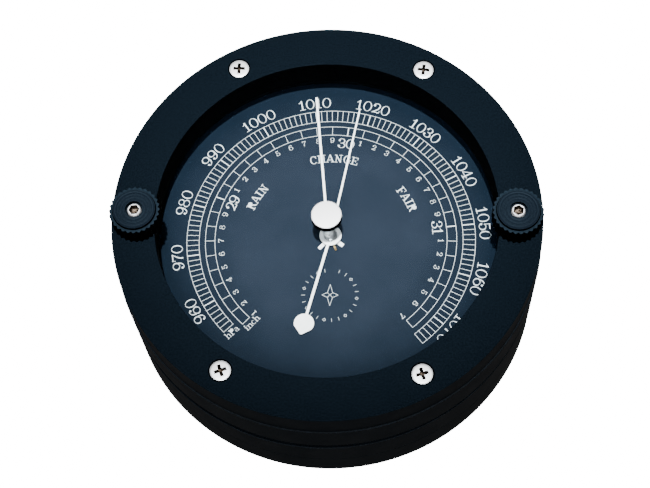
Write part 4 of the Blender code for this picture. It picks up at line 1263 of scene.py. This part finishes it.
def make_springy_parts():
    """The capsule and the main spring, which are fixed at the bottom and carried by the lever at the top, as
    bronze copies of their CAD nodes baked in place on no body.
    """
    for node in ("capsule", "main_spring"):
        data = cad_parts[node].data.copy()
        data.materials.clear()
        piece = add(f"{node}_bronze", data, BRONZE, None)
        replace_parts(piece, node)
        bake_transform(piece)


def paint_kept_nodes():
    for material, nodes in KEPT:
        for node in nodes:
            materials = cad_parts[node].data.materials
            materials.clear()
            materials.append(material)


# ---- floor, light and camera


def make_floor():
    half = 2.5
    data = bpy.data.meshes.new("floor")
    corners = [(-half, -half, 0), (half, -half, 0), (half, half, 0), (-half, half, 0)]
    data.from_pydata(corners, [], [(0, 1, 2, 3)])
    glow = {"Emission_Color": (1, 1, 1, 1), "Emission_Strength": 16.0}
    paint = (3.0, 3.0, (0.86, 0.86, 0.86), (0.9, 0.9, 0.9))
    grain = (600, 0.05 * MM, 0.1)
    pale = mottled_material("pale_floor", paint, (20, 0.7, 0.85), grain, Specular_IOR_Level=0.1, **glow)
    floor = add("floor", data, pale, body=None, smooth=False)
    floor.visible_diffuse = False
    floor.visible_glossy = False


LAMPS_AWAY = 1.3


def make_fill(toward):
    """A wide soft panel over the dial, in the direction toward."""
    data = bpy.data.lights.new("fill_panel", "AREA")
    data.size = 0.35
    data.color = (0.85, 0.93, 1.0)
    data.energy = 12.0
    panel = put("fill_panel", data, toward * LAMPS_AWAY)
    panel.rotation_euler = (-toward).to_track_quat("-Z", "Y").to_euler()


def make_light():
    """A strong lamp nearly overhead, a soft panel on the reader's side, and a dim room over a paler floor."""
    tilt = radians(9)
    aim = Vector((0, 0.025, 0.03))
    data = bpy.data.lights.new("key", "SPOT")
    data.shadow_soft_size = 0.015
    data.energy = 320.0
    data.spot_size = 2 * radians(4.6)
    data.spot_blend = 1.0
    key = put("key", data, aim + Vector((0.02, -LAMPS_AWAY * sin(tilt), LAMPS_AWAY * cos(tilt))))
    key.rotation_euler = (aim - key.location).to_track_quat("-Z", "Y").to_euler()
    make_fill(Vector((-0.05, -0.5, 0.86)))
    world = bpy.data.worlds.new("room")
    world.use_nodes = True
    nodes, links = world.node_tree.nodes, world.node_tree.links
    direction = nodes.new("ShaderNodeSeparateXYZ")
    ramp = nodes.new("ShaderNodeValToRGB")
    set_ramp(ramp, (0.0, (0.26, 0.255, 0.25)), (0.05, (0.114, 0.117, 0.12)))
    links.new(nodes.new("ShaderNodeTexCoord").outputs["Generated"], direction.inputs["Vector"])
    links.new(direction.outputs["Z"], ramp.inputs["Fac"])
    links.new(ramp.outputs["Color"], nodes["Background"].inputs["Color"])
    bpy.context.scene.world = world


def make_camera():
    data = bpy.data.cameras.new("camera")
    data.sensor_width = 36.0
    data.lens = 82.06
    data.clip_start = 0.01
    data.clip_end = 20.0
    made = put("camera", data)
    right = Vector((0.99877, 0.03048, -0.03889)).normalized()
    up = Vector((-0.01191, 0.91236, 0.40920))
    up = (up - right * up.dot(right)).normalized()
    back = right.cross(up)
    facing = Matrix((right, up, back)).transposed().to_4x4()
    made.matrix_world = Matrix.Translation((19.48 * MM, -175.63 * MM, 416.56 * MM)) @ facing
    bpy.context.scene.camera = made


def main():
    make_springy_parts()
    paint_kept_nodes()
    make_bezel()
    make_front_ring()
    make_middle_ring()
    make_back()
    make_screws()
    make_back_screws()
    make_studs()
    make_thumb_nuts()
    make_snap_ring()
    make_set_knob()
    make_set_hand()
    make_indicator_hand()
    make_boss()
    make_bush_clip()
    make_dial_print()
    make_floor()
    make_light()
    make_camera()


main()
